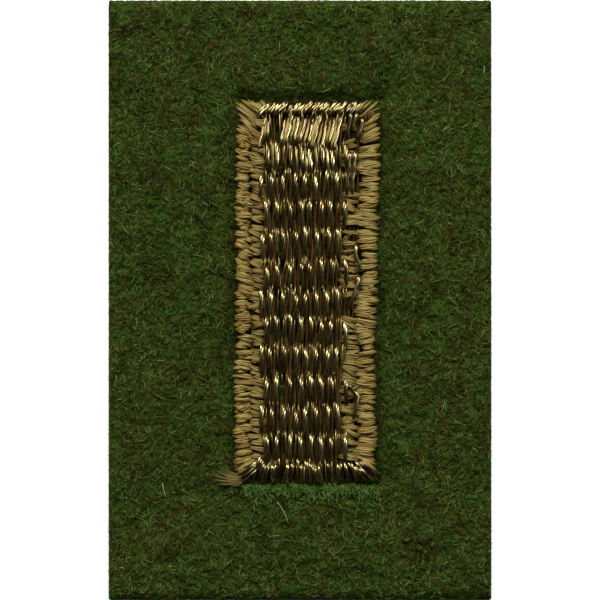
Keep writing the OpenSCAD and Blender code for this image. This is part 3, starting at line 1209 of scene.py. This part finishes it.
class RANKTAB_OT_borders(Operator):
    """Make the tan satin stitches of the two side borders"""

    bl_idname = "ranktab.borders"
    bl_label = "Side borders"

    def execute(self, context):
        thread = context.scene.rank_tab_thread
        shades = (thread.deep, thread.tan, thread.pale)
        material = thread_material(SATIN, shades, 0.0, thread.roughness, low=0.76, gloss=0.15)
        top = LEFT_HIGH[2] - 0.8 * thread.width
        for name, side in SIDES.items():
            rng = np.random.default_rng(side.seed)
            out, into, near_top = side_stitches(side, thread, 0.0, side.bunch, side.missing, rng)
            n = len(out)
            crown = top + rng.normal(0, 0.07 * MM, n)
            paths = arched(out, into, TAN_FOOT, crown, 9, peak=0.45)
            width = thread.width * rng.uniform(0.8, 1.3, n) * (1 - side.thinner * near_top)
            strands = ribbons(paths, thread.strands, width, side.seed + 10, pinch=(0.8, 0.55))
            piece = make_object(f"{name}_satin", strands, material)
            finish_piece(piece, "tan_thread", f"{name}_border")

            missing = side.core_missing
            out, into, near_top = side_stitches(side, thread, CORE_INWARD, 0.0, missing, rng)
            paths = arched(out, into, TAN_FOOT, top - CORE_BELOW, 8, peak=0.45)
            width = thread.width * (1 - side.thinner * near_top)
            core = ribbons(paths, thread.strands, width, side.seed + 20, pinch=(0.6, 0.4))
            finish_piece(make_object(f"{name}_core", core, material), "tan_thread")
        return {"FINISHED"}


# Underlay

# Distance between the sparse stitches that run across the bar under the gold
CROSS_PITCH = 2.2 * MM
# The lower layer of the columns: how much more of it is missing, and how far it lies below
LAYER_MISSING, LAYER_BELOW = 0.2, 0.2 * MM
# By about how much the outer and the inner ends and the crowns of the columns' stitches miss
# their places
OUTER_MISS, INNER_MISS, CROWN_MISS = 0.13 * MM, 0.12 * MM, 0.06 * MM
# How much darker and browner the underlay's thread is than the borders': the darkness is painted
# shade, as it lies lower
UNDERLAY_PAINTED_SHADE = (0.84, 0.83, 0.76)
# Tan threads of the underlay that show along the gap in the gold: their upper and lower ends
# as shares of the fill's length from its lower end, and their place as a share of its width
SHOWING = (
    (0.915, 0.845, 0.245),
    (0.770, 0.700, 0.200),
    (0.650, 0.590, 0.160),
    (0.545, 0.480, 0.190),
    (0.170, 0.095, 0.225),
)

# Where the inner column on the right has next to no stitches, so that dark threads show: the
# upper and lower ends of each hole, in mm over the bar's middle
HOLES = (
    (10.40, 9.80),
    (7.70, 6.50),
    (4.40, 4.00),
    (3.00, 2.35),
    (-0.20, -1.60),
    (-3.30, -3.70),
    (-7.00, -7.40),
)
# Share of the stitches that is missing in a hole
HOLE_MISSING = 0.95


class Column(NamedTuple):
    """One of the two columns of the underlay inside the side borders. Outer and inner are the
    places of its edges across the bar, and top is the height at which it ends. Its stitches
    lean by the angle lean, give or take wander, in radians, and the share missing of them is
    left out."""

    outer: float
    inner: float
    top: float
    lean: float
    wander: float
    missing: float
    holes: tuple


def column_stitches(column, thread, missing, sunk, seed, rng):
    """Strands of one layer of a column's stitches, at uneven places up the bar and each with a
    lean of its own, their crowns lower by the distance sunk."""
    outer, inner = column.outer, column.inner
    y = evenly(UNDER_LOW[1], column.top, thread.inner_pitch, rng, 0.25)
    y = y + 0.5 * thread.inner_pitch * noise(y, outer, 0.7 * MM, 33)
    holes = BAR_MIDDLE[1] + np.reshape(column.holes, (-1, 2)) * MM
    in_hole = ((y > holes[:, 1:]) & (y < holes[:, :1])).any(0)
    y = y[rng.uniform(0, 1, len(y)) >= np.where(in_hole, HOLE_MISSING, missing)]
    n = len(y)
    shift = abs(outer - inner) / 2 * np.tan(rng.normal(column.lean, column.wander, n))
    out = stacked(outer + rng.normal(0, OUTER_MISS, n), y + shift)
    into = stacked(inner + rng.normal(0, INNER_MISS, n), y - shift)
    crown = UNDER_HIGH[2] - 0.8 * thread.width - sunk + rng.normal(0, CROWN_MISS, n)
    paths = arched(out, into, TAN_FOOT, crown, 8)
    width = thread.width * rng.uniform(0.8, 1.2, n)
    return ribbons(paths, thread.strands, width, seed, pinch=(0.6, 0.6))


class RANKTAB_OT_underlay(Operator):
    """Make the tan underlay: a column inside each border and sparse stitches under the gold"""

    bl_idname = "ranktab.underlay"
    bl_label = "Underlay"

    def execute(self, context):
        thread = context.scene.rank_tab_thread
        # Painted shade: the underlay's thread is a darker copy of the borders'
        shades = tinted((thread.deep, thread.tan, thread.pale), UNDERLAY_PAINTED_SHADE)
        material = thread_material(
            "underlay_thread", shades, 0.0, thread.roughness, low=0.66, gloss=0.15
        )
        rng = np.random.default_rng(51)
        left = Column(
            outer=UNDER_LOW[0] - 0.12 * MM,
            inner=UNDER_LOW[0] + 1.25 * thread.left_column,
            top=UNDER_HIGH[1] - 0.5 * MM,
            lean=0.2,
            wander=0.17,
            missing=0.04,
            holes=(),
        )
        right = Column(
            outer=UNDER_HIGH[0] + 0.02 * MM,
            inner=UNDER_HIGH[0] - 1.25 * thread.right_column,
            top=UNDER_HIGH[1] - 0.9 * MM,
            lean=-0.1,
            wander=0.24,
            missing=0.1,
            holes=HOLES,
        )
        parts, cores = [], []
        for column in (left, right):
            parts += column_stitches(column, thread, column.missing, 0.0, 52, rng)
            missing = LAYER_MISSING + column.missing
            cores += column_stitches(column, thread, missing, LAYER_BELOW, 53, rng)

        y = evenly(UNDER_LOW[1], UNDER_HIGH[1], CROSS_PITCH, rng)
        n = len(y)
        start = stacked(FILL_LOW[0], y + rng.normal(0, 0.3 * MM, n))
        end = stacked(FILL_HIGH[0], y + rng.normal(0, 0.3 * MM, n))
        paths = arched(start, end, TAN_FOOT, SEAT_Z - 0.14 * MM, 8, exponent=8)
        parts += plied(paths, thread.strands, thread.width, thread.twist, 53)

        high, low, across = np.array(SHOWING).T
        span = FILL_HIGH - FILL_LOW
        x = FILL_LOW[0] + across * span[0]
        start = stacked(x, FILL_LOW[1] + high * span[1])
        end = stacked(x + 0.05 * MM, FILL_LOW[1] + low * span[1])
        paths = arched(start, end, TAN_FOOT, FILL_HIGH[2] - 0.5 * MM, 9)
        parts += plied(paths, thread.strands, thread.width, thread.twist, 54)
        piece = make_object("underlay_stitches", parts, material)
        finish_piece(piece, "tan_thread", "underlay")
        finish_piece(make_object("underlay_cores", cores, material), "tan_thread")
        return {"FINISHED"}


# Gold

# Where the threads of a row stand across the bar, in millimetres from its middle: in the first
# row, in the rows with even numbers and in the other rows. The first row's are evenly spaced,
# but one is missing over the thin place
FIRST_THREADS = tuple(-2.65 + 0.462 * number for number in range(12) if number != 2)
EVEN_THREADS = (-2.67, -2.02, -1.10, -0.37, 0.25, 0.97, 1.61, 2.55)
ODD_THREADS = (-2.96, -2.34, -1.52, -0.67, -0.07, 0.63, 1.38, 2.06)

# Each row of the fill: how far its stitches' upper ends lie above an even spacing at the left,
# the middle and the right, in millimetres, how far the lower ends lie to the right, the share
# of a stitch's length at which it is highest, and the exponent and the tilt of its rise
ROW_LIFTS, ROW_SLANT, ROW_PEAK, ROW_EXPONENT, ROW_TILT = slice(0, 3), 3, 4, 5, 6
ROWS = (
    (0.20, 0.20, 0.20, -0.60, 0.80, 8.0, 0.78),
    (0.06, 0.06, 0.06, 0.14, 0.58, 5.0, 0.50),
    (0.00, 0.05, 0.20, -0.12, 0.34, 4.0, 0.34),
    (0.05, 0.10, 0.10, 0.05, 0.28, 4.0, 0.28),
    (-0.06, 0.12, 0.34, -0.05, 0.26, 4.0, 0.26),
    (-0.50, 0.00, 0.16, 0.05, 0.26, 4.0, 0.26),
    (-0.06, -0.40, 0.12, -0.05, 0.26, 4.0, 0.26),
    (0.10, 0.23, -0.33, 0.05, 0.28, 4.0, 0.28),
    (0.03, 0.00, 0.03, -0.05, 0.29, 4.0, 0.30),
    (-0.03, 0.07, -0.03, 0.05, 0.29, 4.0, 0.30),
    (-0.09, -0.22, 0.14, -0.05, 0.29, 4.0, 0.30),
    (-0.06, 0.04, -0.11, 0.05, 0.26, 4.0, 0.26),
)
# The exponent of a stitch's fall from its crown
FALL = 2.0
# Length of a row's stitches as a share of the distance between rows, and the width of its
# strands as a share of the usual: in the first row and in the others
ROW_LENGTHS, ROW_WIDTHS = (1.42, 1.28), (0.68, 1.0)
# How unevenly high the crowns of a row's stitches are, in the same two cases
ROW_UNEVEN = (0.12 * MM, 0.05 * MM)

# By about how much a stitch misses its place across the bar, and its ends theirs along it
THREAD_MISS, END_MISS = 0.03 * MM, 0.07 * MM

# Share of the places between two threads that has a finer thread, set lower, in each of the
# rows at the top of the fill
CLOSE_ROWS = (0.85, 0.8)
# Width of the strands of the finer threads as a share of the usual, and how far their crowns
# lie under the fill's highest place, in mm, at least and at most
FINER_WIDTH, FINER_UNDER = 0.6, (0.14, 0.36)
# The shortest and the longest of the strays, how far their crowns lie under the fill's highest
# place, both in mm, and how far they rise
STRAY_LENGTHS, STRAY_UNDER, STRAY_RISE = (0.8, 1.9), (0.05, 0.35), 0.45 * MM

# The part of the bar's width, in millimetres from its middle, where the low threads stop here
# and there, so that the felt shows through, and the lengths that they cover, above its middle
THIN_PLACE = (-1.95, -1.5)
COVERED = (
    (10.60, 12.30),
    (8.90, 9.70),
    (5.30, 8.10),
    (2.30, 3.90),
    (-2.10, 1.60),
    (-5.20, -2.60),
    (-12.30, -6.50),
)
# Number of low threads side by side under the fill and its columns, and how far they lie under
# the crowns of the fill: beneath the gold and beneath the columns beside it
LOW_THREADS = 26
LOW_UNDER, LOW_BESIDE = 0.62 * MM, 0.85 * MM
# The same for the dark threads beyond the fill at its upper right corner: how many there are
# and how high they lie
CORNER_THREADS, CORNER_Z = 4, SEAT_Z + 0.25 * MM

# Strands of gold that wander over the inner column on the right, as places on them in
# millimetres to the right of the bar's middle and above it
WANDERING = (
    ((2.84, 9.60), (2.84, 8.60), (2.72, 7.40), (2.62, 6.20)),
    ((3.21, 9.60), (3.18, 8.60), (3.05, 7.40), (2.98, 6.20)),
    ((3.55, 1.20), (3.40, 0.70), (3.20, 0.10), (2.80, -1.20)),
    ((2.65, -5.95), (2.90, -6.30), (3.40, -6.90), (3.00, -8.80)),
    ((3.30, 3.40), (3.20, 2.60), (3.45, 2.00), (3.50, 1.40)),
    ((2.98, 12.10), (2.80, 11.10), (2.62, 9.95)),
    ((3.45, 12.00), (3.10, 11.30), (2.98, 10.60)),
    ((3.75, 11.70), (3.60, 10.90), (3.22, 9.90)),
)


def in_thin_place(x):
    """Whether places across the bar lie in its thin place."""
    offset = (x - BAR_MIDDLE[0]) / MM
    return (offset > THIN_PLACE[0]) & (offset < THIN_PLACE[1])


def fill_row(row, pitch, gold, rng):
    """Strands of one row of the fill's stitches, and those of the finer stitches between them,
    which only the rows at the top have."""
    first = row == 0
    kind = 0 if first else 1
    facts = ROWS[row % len(ROWS)]
    threads = FIRST_THREADS if first else (EVEN_THREADS if row % 2 else ODD_THREADS)
    x = BAR_MIDDLE[0] + np.array(threads) * MM + rng.normal(0, THREAD_MISS, len(threads))
    n = len(x)
    across = (x - FILL_LOW[0]) / (FILL_HIGH[0] - FILL_LOW[0])
    lift = np.interp(across, (0, 0.5, 1), facts[ROW_LIFTS]) * MM
    top = FILL_HIGH[1] - row * pitch + lift + rng.normal(0, END_MISS, n)
    slant = facts[ROW_SLANT] * MM + rng.normal(0, END_MISS, n)
    start, end = stacked(x, top), stacked(x + slant, top - ROW_LENGTHS[kind] * pitch)
    crown = FILL_HIGH[2] - 0.75 * gold.width + rng.normal(0, ROW_UNEVEN[kind], n)
    peak = facts[ROW_PEAK] + rng.normal(0, 0.02 + 0.25 * max(facts[ROW_TILT] - 0.34, 0), n)
    peak = np.clip(peak, 0.15, 0.92)
    tilt = facts[ROW_TILT] * rng.uniform(0.5, 1.25, n)
    exponent = facts[ROW_EXPONENT]
    paths = arched(start, end, GOLD_FOOT, crown, 18, exponent, peak, tilt, FALL)
    width = gold.width * ROW_WIDTHS[kind]
    stitches = plied(paths, gold.strands, width, gold.twist, 62 + row, flat=0.9)
    if row >= len(CLOSE_ROWS):
        return stitches, []

    chosen = rng.uniform(0, 1, n - 1) < CLOSE_ROWS[row]
    chosen &= ~in_thin_place((x[1:] + x[:-1]) / 2)
    start, end = (((ends[1:] + ends[:-1]) / 2)[chosen] for ends in (start, end))
    crown = FILL_HIGH[2] - rng.uniform(*FINER_UNDER, chosen.sum()) * MM
    peak, tilt = peak[1:][chosen] - 0.04, tilt[1:][chosen]
    paths = arched(start, end, GOLD_FOOT, crown, 16, exponent, peak, tilt, FALL)
    return stitches, plied(paths, 3, FINER_WIDTH * gold.width, gold.twist, 75 + row, 5)


def low_threads(gold):
    """Strands of the threads that lie low under the fill, as long as the bar but for the thin
    place, where they cover only parts of its length, and of those at the upper right corner."""
    x = np.linspace(UNDER_LOW[0] + 0.1 * MM, UNDER_HIGH[0] - 0.1 * MM, LOW_THREADS)
    thin = in_thin_place(x)
    beneath = (x > FILL_LOW[0]) & (x < FILL_HIGH[0])
    height = FILL_HIGH[2] - np.where(beneath, LOW_UNDER, LOW_BESIDE)
    low, high = BAR_LOW[1] + 0.35 * MM, BAR_HIGH[1] - 0.3 * MM
    strands = laid(x[~thin], low, high, height[~thin], gold, 80, 0.35)
    for start, end in BAR_MIDDLE[1] + np.array(COVERED) * MM:
        strands += laid(x[thin], start, end, height[thin] - 0.15 * MM, gold, 79, 0.95)
    corner = np.linspace(UNDER_HIGH[0] + 0.15 * MM, BAR_HIGH[0] - 0.35 * MM, CORNER_THREADS)
    return strands + laid(corner, BAR_HIGH[1] - 2.6 * MM, high, CORNER_Z, gold, 85, 0.8)


def stray_strands(pitch, gold, rng):
    """Fine single strands that run down from the rows' upper ends, each with a lean and a crown
    of its own."""
    n = gold.strays
    row = np.floor((gold.rows + 1) * rng.uniform(0, 1, n))
    x = rng.uniform(FILL_LOW[0] - 0.1 * MM, FILL_HIGH[0] + 0.3 * MM, n)
    y = FILL_HIGH[1] - row * pitch + rng.uniform(-0.15, 0.3, n) * MM
    y = y + np.where(row == 0, 0.2 * MM, 0)
    size = rng.uniform(*STRAY_LENGTHS, n) * MM
    lean = rng.normal(0, 0.1, n)
    start, end = stacked(x, y), stacked(x + size * lean, np.maximum(y - size, BAR_LOW[1]))
    crown = FILL_HIGH[2] - rng.uniform(*STRAY_UNDER, n) * MM
    peak = np.where(row < 2, rng.uniform(0.3, 0.85, n), rng.uniform(0.15, 0.4, n))
    paths = arched(start, end, crown - STRAY_RISE, crown, 9, exponent=1.6, peak=peak)
    width = 0.4 * gold.width * rng.uniform(0.6, 1.2, n)
    return plied(paths, 1, width, gold.twist, 78, faces_round=5)


def wandering_strands(gold):
    """Strands of the threads that wander over the inner column on the right: straight between
    their places in plan, and in height a flat arch of 1 - x^8, where x runs from -1 to 1, with
    small dips on its way."""
    strands = []
    t = np.linspace(0, 1, 26)
    for number, places in enumerate(WANDERING):
        given = BAR_MIDDLE + np.array(places) * MM
        at = np.linspace(0, 1, len(given))
        x, y = np.interp(t, at, given[:, 0]), np.interp(t, at, given[:, 1])
        z = GOLD_FOOT + (FILL_HIGH[2] - 0.13 * MM - GOLD_FOOT) * (1 - (2 * t - 1) ** 8)
        z = z - 0.03 * MM * (1 + noise(x, y, 0.4 * MM, 31))
        path = stacked(x, y, z)[None]
        strands += plied(path, 3, 0.8 * gold.width, gold.twist, 82 + number)
    return strands


class RANKTAB_OT_fill(Operator):
    """Make the gold stitches of the fill, row by row"""

    bl_idname = "ranktab.fill"
    bl_label = "Gold fill"

    def execute(self, context):
        gold = context.scene.rank_tab_gold
        shades = (gold.deep, gold.gold, gold.pale)
        material = thread_material(FOIL, shades, gold.metal, gold.roughness, low=0.3)
        shader = material.node_tree.nodes["Principled BSDF"]
        shader.inputs["Coat Weight"].default_value = gold.lacquer
        shader.inputs["Coat Roughness"].default_value = 0.15
        rng = np.random.default_rng(61)
        pitch = (FILL_HIGH[1] - FILL_LOW[1]) / gold.rows
        parts, worn = [], []
        for row in range(gold.rows):
            stitches, finer = fill_row(row, pitch, gold, rng)
            parts += stitches
            worn += finer
        worn += stray_strands(pitch, gold, rng)
        parts += wandering_strands(gold)

        # Painted shade: the low threads get a darker copy of the foil, for the shade of the
        # hollows
        painted_shade_foil = thread_material("foil_ground", 3 * (gold.shaded_ground,), 0.8, 0.4, low=0.3)
        finish_piece(make_object("gold_ground", low_threads(gold), painted_shade_foil), "gold_thread")
        piece = make_object("gold_stitches", parts, material)
        finish_piece(piece, "gold_thread", "gold_fill")
        rubbed = thread_material("foil_worn", shades, 0.9, gold.worn, low=0.4)
        finish_piece(make_object("gold_strands", worn, rubbed), "gold_thread")
        return {"FINISHED"}


class EndBorder(NamedTuple):
    """One of the two end borders. Outer and inner are the places of its edges along the bar,
    and low and high those of its two ends across it. Its stitches miss their outer and inner
    ends by about ragged and loose, and their crowns are uneven by about uneven."""

    outer: float
    inner: float
    low: float
    high: float
    fan: tuple
    ragged: float
    loose: float
    uneven: float
    strands: int
    seed: int


TOP_END = EndBorder(
    outer=TOP_HIGH[1],
    inner=TOP_LOW[1] - 0.2 * MM,
    low=BAR_LOW[0] + 1.6 * MM,
    high=BAR_HIGH[0] - 1.0 * MM,
    fan=TOP_FAN,
    ragged=0.09 * MM,
    loose=0.08 * MM,
    uneven=0.05 * MM,
    strands=3,
    seed=71,
)
BOTTOM_END = EndBorder(
    outer=BOTTOM_LOW[1],
    inner=FILL_LOW[1],
    low=BAR_LOW[0] + 0.4 * MM,
    high=BAR_HIGH[0],
    fan=BOTTOM_FAN,
    ragged=0.15 * MM,
    loose=0.2 * MM,
    uneven=0.14 * MM,
    strands=2,
    seed=72,
)


class RANKTAB_OT_ends(Operator):
    """Make the gold stitches of the top and bottom borders"""

    bl_idname = "ranktab.ends"
    bl_label = "End borders"

    def execute(self, context):
        gold = context.scene.rank_tab_gold
        material = bpy.data.materials[FOIL]
        ends = (("top", TOP_END, gold.top_pitch), ("bottom", BOTTOM_END, gold.bottom_pitch))
        for name, end, pitch in ends:
            rng = np.random.default_rng(end.seed)
            place = (end.low, end.high, end.outer, end.inner)
            out, into = satin(0, *place, end.fan, pitch, end.ragged, end.loose, rng)
            n = len(out)
            crown = TOP_HIGH[2] - 0.7 * gold.width + rng.normal(0, end.uneven, n)
            tilt = rng.uniform(0.1, 0.36, n)
            if end is TOP_END:
                paths = arched(out, into, GOLD_FOOT, crown, 12, 3.5, 0.62, tilt)
            else:
                peak = rng.uniform(0.17, 0.28, n)
                paths = arched(into, out, GOLD_FOOT, crown, 14, 4.0, peak, tilt, FALL)
            width = gold.width * rng.uniform(0.8, 1.05, n)
            strands = plied(paths, end.strands, width, gold.twist, end.seed)
            piece = make_object(f"{name}_satin", strands, material)
            finish_piece(piece, "gold_thread", f"{name}_border")
        return {"FINISHED"}


# Loose end and back

# The locks of the frayed end: where each one's tip lies from the knot, as a bearing in degrees
# and a distance in mm, how far its tip rises over the felt, and how far its root lies up the
# bar from the knot, both in mm
LOCKS = (
    (134, 0.92, 0.22, 0.12),
    (147, 1.02, 0.10, 0.05),
    (158, 1.24, 0.28, -0.02),
    (174, 1.62, 0.32, -0.12),
    (188, 1.42, 0.30, -0.22),
    (207, 1.18, 0.26, -0.32),
    (238, 0.55, 0.08, -0.38),
)
LOCK_BEARING, LOCK_REACH, LOCK_RISE, LOCK_ROOT = 0, 1, 2, 3
LOCK_STRANDS = 22
# Half the thickness of a strand at its root, and the share of it that is gone at its tip
LOCK_HALF, LOCK_TAPER = 0.032 * MM, 0.6
# Where the knot lies from the bar's left edge, and the locks' roots from the knot, to the right
KNOT_X, ROOT_X = -0.2 * MM, 0.55 * MM
# How much darker and yellower the frayed thread is than the borders'
FRAYED_TINT = (0.50, 0.54, 0.20)


class RANKTAB_OT_tail(Operator):
    """Make the frayed end of thread at the bottom left corner"""

    bl_idname = "ranktab.tail"
    bl_label = "Frayed end"

    def execute(self, context):
        thread = context.scene.rank_tab_thread
        rng = np.random.default_rng(81)
        locks = np.repeat(np.array(LOCKS), LOCK_STRANDS, axis=0)
        n = len(locks)
        bearing = np.radians(locks[:, LOCK_BEARING])
        reach = locks[:, LOCK_REACH] * rng.uniform(0.75, 1.0, n) * MM
        knot = np.array([BAR_LOW[0] + KNOT_X, (TAIL_LOW[1] + TAIL_HIGH[1]) / 2])
        tip = knot + reach[:, None] * stacked(np.cos(bearing), np.sin(bearing))
        root = knot + (ROOT_X, 0) + rng.normal(0, 0.06 * MM, (n, 2))
        root[:, 1] += locks[:, LOCK_ROOT] * MM
        bend = knot + 0.45 * (tip - knot) + rng.normal(0, 0.045 * MM, (n, 2))
        bend[:, 1] += (0.5 * locks[:, LOCK_ROOT] - 0.24) * MM
        t = np.linspace(0, 1, 8)[None, :, None]
        plan = root[:, None] * (1 - t) ** 2 + bend[:, None] * 2 * t * (1 - t) + tip[:, None] * t**2
        t = t[..., 0]
        rise = locks[:, LOCK_RISE, None] * MM * t**1.5
        z = CLOTH_HIGH[2] + rng.uniform(-0.12, 0.12, (n, 1)) * MM * (1 - t) + rise
        paths = stacked(plan[..., 0], plan[..., 1], z)
        width = LOCK_HALF * (1 - LOCK_TAPER * t**2) * rng.uniform(0.7, 1.3, (n, 1))
        shared = np.repeat(rng.integers(0, CELL_NUMBERS, len(LOCKS)), LOCK_STRANDS)
        cell = mostly(shared, rng)
        strands = tubes(paths, sideways(paths), width, width, 4, cell, THREAD_ATLAS)
        shades = tinted((thread.deep, thread.tan, thread.pale), FRAYED_TINT)
        material = thread_material("frayed_thread", shades, 0.0, thread.roughness)
        piece = make_object("frayed_end", [strands], material)
        finish_piece(piece, "tan_thread", "thread_tail")
        return {"FINISHED"}


# On the back: columns of stitches side by side, and the distance between two stitches in each
BACK_COLUMNS, BACK_PITCH = 3, 0.36 * MM


class RANKTAB_OT_back(Operator):
    """Make the lower thread of the stitching, which shows on the back"""

    bl_idname = "ranktab.back"
    bl_label = "Back stitches"

    def execute(self, context):
        thread = context.scene.rank_tab_thread
        rng = np.random.default_rng(91)
        y = evenly(BACK_LOW[1], BACK_HIGH[1], BACK_PITCH, rng)
        n = len(y)
        step = (BACK_HIGH[0] - BACK_LOW[0]) / BACK_COLUMNS
        parts = []
        for column in range(BACK_COLUMNS):
            start = stacked(BACK_LOW[0] + column * step, y)
            end = start + stacked(step, rng.normal(0.1, 0.1, n) * MM)
            paths = arched(start, end, BACK_HIGH[2] + 0.1 * MM, 0.12 * MM, 6, exponent=4)
            parts += plied(paths, thread.strands, thread.width, thread.twist, 92 + column, 5)
        drab = tuple(thread.bobbin)
        deep = tuple(0.6 * value for value in drab)
        material = thread_material("drab_thread", (deep, drab, drab), 0.0, 0.8, bump=0.35)
        piece = make_object("back_stitches", parts, material)
        finish_piece(piece, "bobbin_thread", "bobbin_stitches")
        return {"FINISHED"}


# Stage

# Half the side of the floor, and how far the floor lies under the felt's back
FLOOR_HALF, FLOOR_DROP = 1.5, 0.02 * MM
# The lamps: the bearing of each, clockwise from +Y, and its elevation, in degrees, its width and
# depth in metres, and the setting that gives its power
LAMPS = {
    "key": (0, 43, 0.7, 0.17, "key_power"),
    "high": (0, 68, 0.6, 0.2, "high_power"),
    "left_side": (-90, 22, 0.5, 0.2, "side_power"),
    "right_side": (90, 22, 0.5, 0.2, "side_power"),
}
# Distance of the lamps from the tab
LAMP_REACH = 0.5
SENSOR_WIDTH = 36.0


def add_lamp(name, bearing, elevation, width, depth, watts):
    """An area lamp that faces the tab from this bearing and elevation."""
    light = bpy.data.lights.new(name, "AREA")
    light.shape = "RECTANGLE"
    light.size, light.size_y = width, depth
    light.energy = watts
    lamp = bpy.data.objects.new(name, light)
    level = LAMP_REACH * math.cos(elevation)
    x, y = level * math.sin(bearing), level * math.cos(bearing)
    lamp.location = (x, y, LAMP_REACH * math.sin(elevation))
    lamp.rotation_euler = (-(math.pi / 2 - elevation), 0, -bearing)
    bpy.context.scene.collection.objects.link(lamp)


class RANKTAB_OT_stage(Operator):
    """Make the floor, the lights, the sky and the camera"""

    bl_idname = "ranktab.stage"
    bl_label = "Stage"

    def execute(self, context):
        stage = context.scene.rank_tab_stage
        corners = FLOOR_HALF * np.array([(-1, -1), (1, -1), (1, 1), (-1, 1)])
        points = stacked(corners[:, 0], corners[:, 1], -FLOOR_DROP)
        material = plain_material("pale_floor", stage.floor, 0.9)
        uv = corners / (2 * FLOOR_HALF) + 0.5
        floor = make_object("floor", [(points, np.arange(4), np.array([4]), uv)], material)

        for name, (bearing, elevation, width, depth, setting) in LAMPS.items():
            place = (math.radians(bearing), math.radians(elevation))
            add_lamp(name, *place, width, depth, getattr(stage, setting))

        world = bpy.data.worlds.new("studio")
        world.use_nodes = True
        background = world.node_tree.nodes["Background"]
        background.inputs["Color"].default_value = (*stage.sky, 1)
        background.inputs["Strength"].default_value = 1.0
        context.scene.world = world
        context.scene.view_settings.view_transform = "Standard"

        camera = bpy.data.cameras.new("camera")
        camera.sensor_width = SENSOR_WIDTH
        camera.lens = SENSOR_WIDTH * (stage.distance - CLOTH_HIGH[2]) / stage.view
        seen = bpy.data.objects.new("camera", camera)
        seen.location = (0, 0, stage.distance)
        context.scene.collection.objects.link(seen)
        context.scene.camera = seen
        return {"FINISHED"}


class RANKTAB_PT_panel(Panel):
    """The settings of the rank tab and the buttons that make it"""

    bl_idname = "RANKTAB_PT_panel"
    bl_label = "Rank Tab"
    bl_space_type = "VIEW_3D"
    bl_region_type = "UI"
    bl_category = "Rank Tab"

    def draw(self, context):
        layout = self.layout
        for group, name in GROUPS.items():
            box = layout.box()
            box.label(text=group.__doc__)
            settings = getattr(context.scene, name)
            for key in group.__annotations__:
                box.prop(settings, key)
        for step in STEPS:
            layout.operator(step.bl_idname)


GROUPS = {
    FeltSettings: "rank_tab_felt",
    ThreadSettings: "rank_tab_thread",
    GoldSettings: "rank_tab_gold",
    StageSettings: "rank_tab_stage",
}
STEPS = (
    RANKTAB_OT_stage,
    RANKTAB_OT_felt,
    RANKTAB_OT_nap,
    RANKTAB_OT_edges,
    RANKTAB_OT_back_nap,
    RANKTAB_OT_fringe,
    RANKTAB_OT_hairs,
    RANKTAB_OT_borders,
    RANKTAB_OT_underlay,
    RANKTAB_OT_fill,
    RANKTAB_OT_ends,
    RANKTAB_OT_tail,
    RANKTAB_OT_back,
)


def register():
    """Registers the settings, which every scene then has, the operators and the panel."""
    for group, name in GROUPS.items():
        bpy.utils.register_class(group)
        setattr(bpy.types.Scene, name, PointerProperty(type=group))
    for step in STEPS:
        bpy.utils.register_class(step)
    bpy.utils.register_class(RANKTAB_PT_panel)


def unregister():
    """Takes the panel, the operators and the settings away again."""
    bpy.utils.unregister_class(RANKTAB_PT_panel)
    for step in reversed(STEPS):
        bpy.utils.unregister_class(step)
    for group, name in GROUPS.items():
        delattr(bpy.types.Scene, name)
        bpy.utils.unregister_class(group)


def main():
    """Makes the tab and its stage, one operator after another."""
    register()
    for step in STEPS:
        group, name = step.bl_idname.split(".")
        getattr(getattr(bpy.ops, group), name)()


if __name__ == "__main__":
    main()
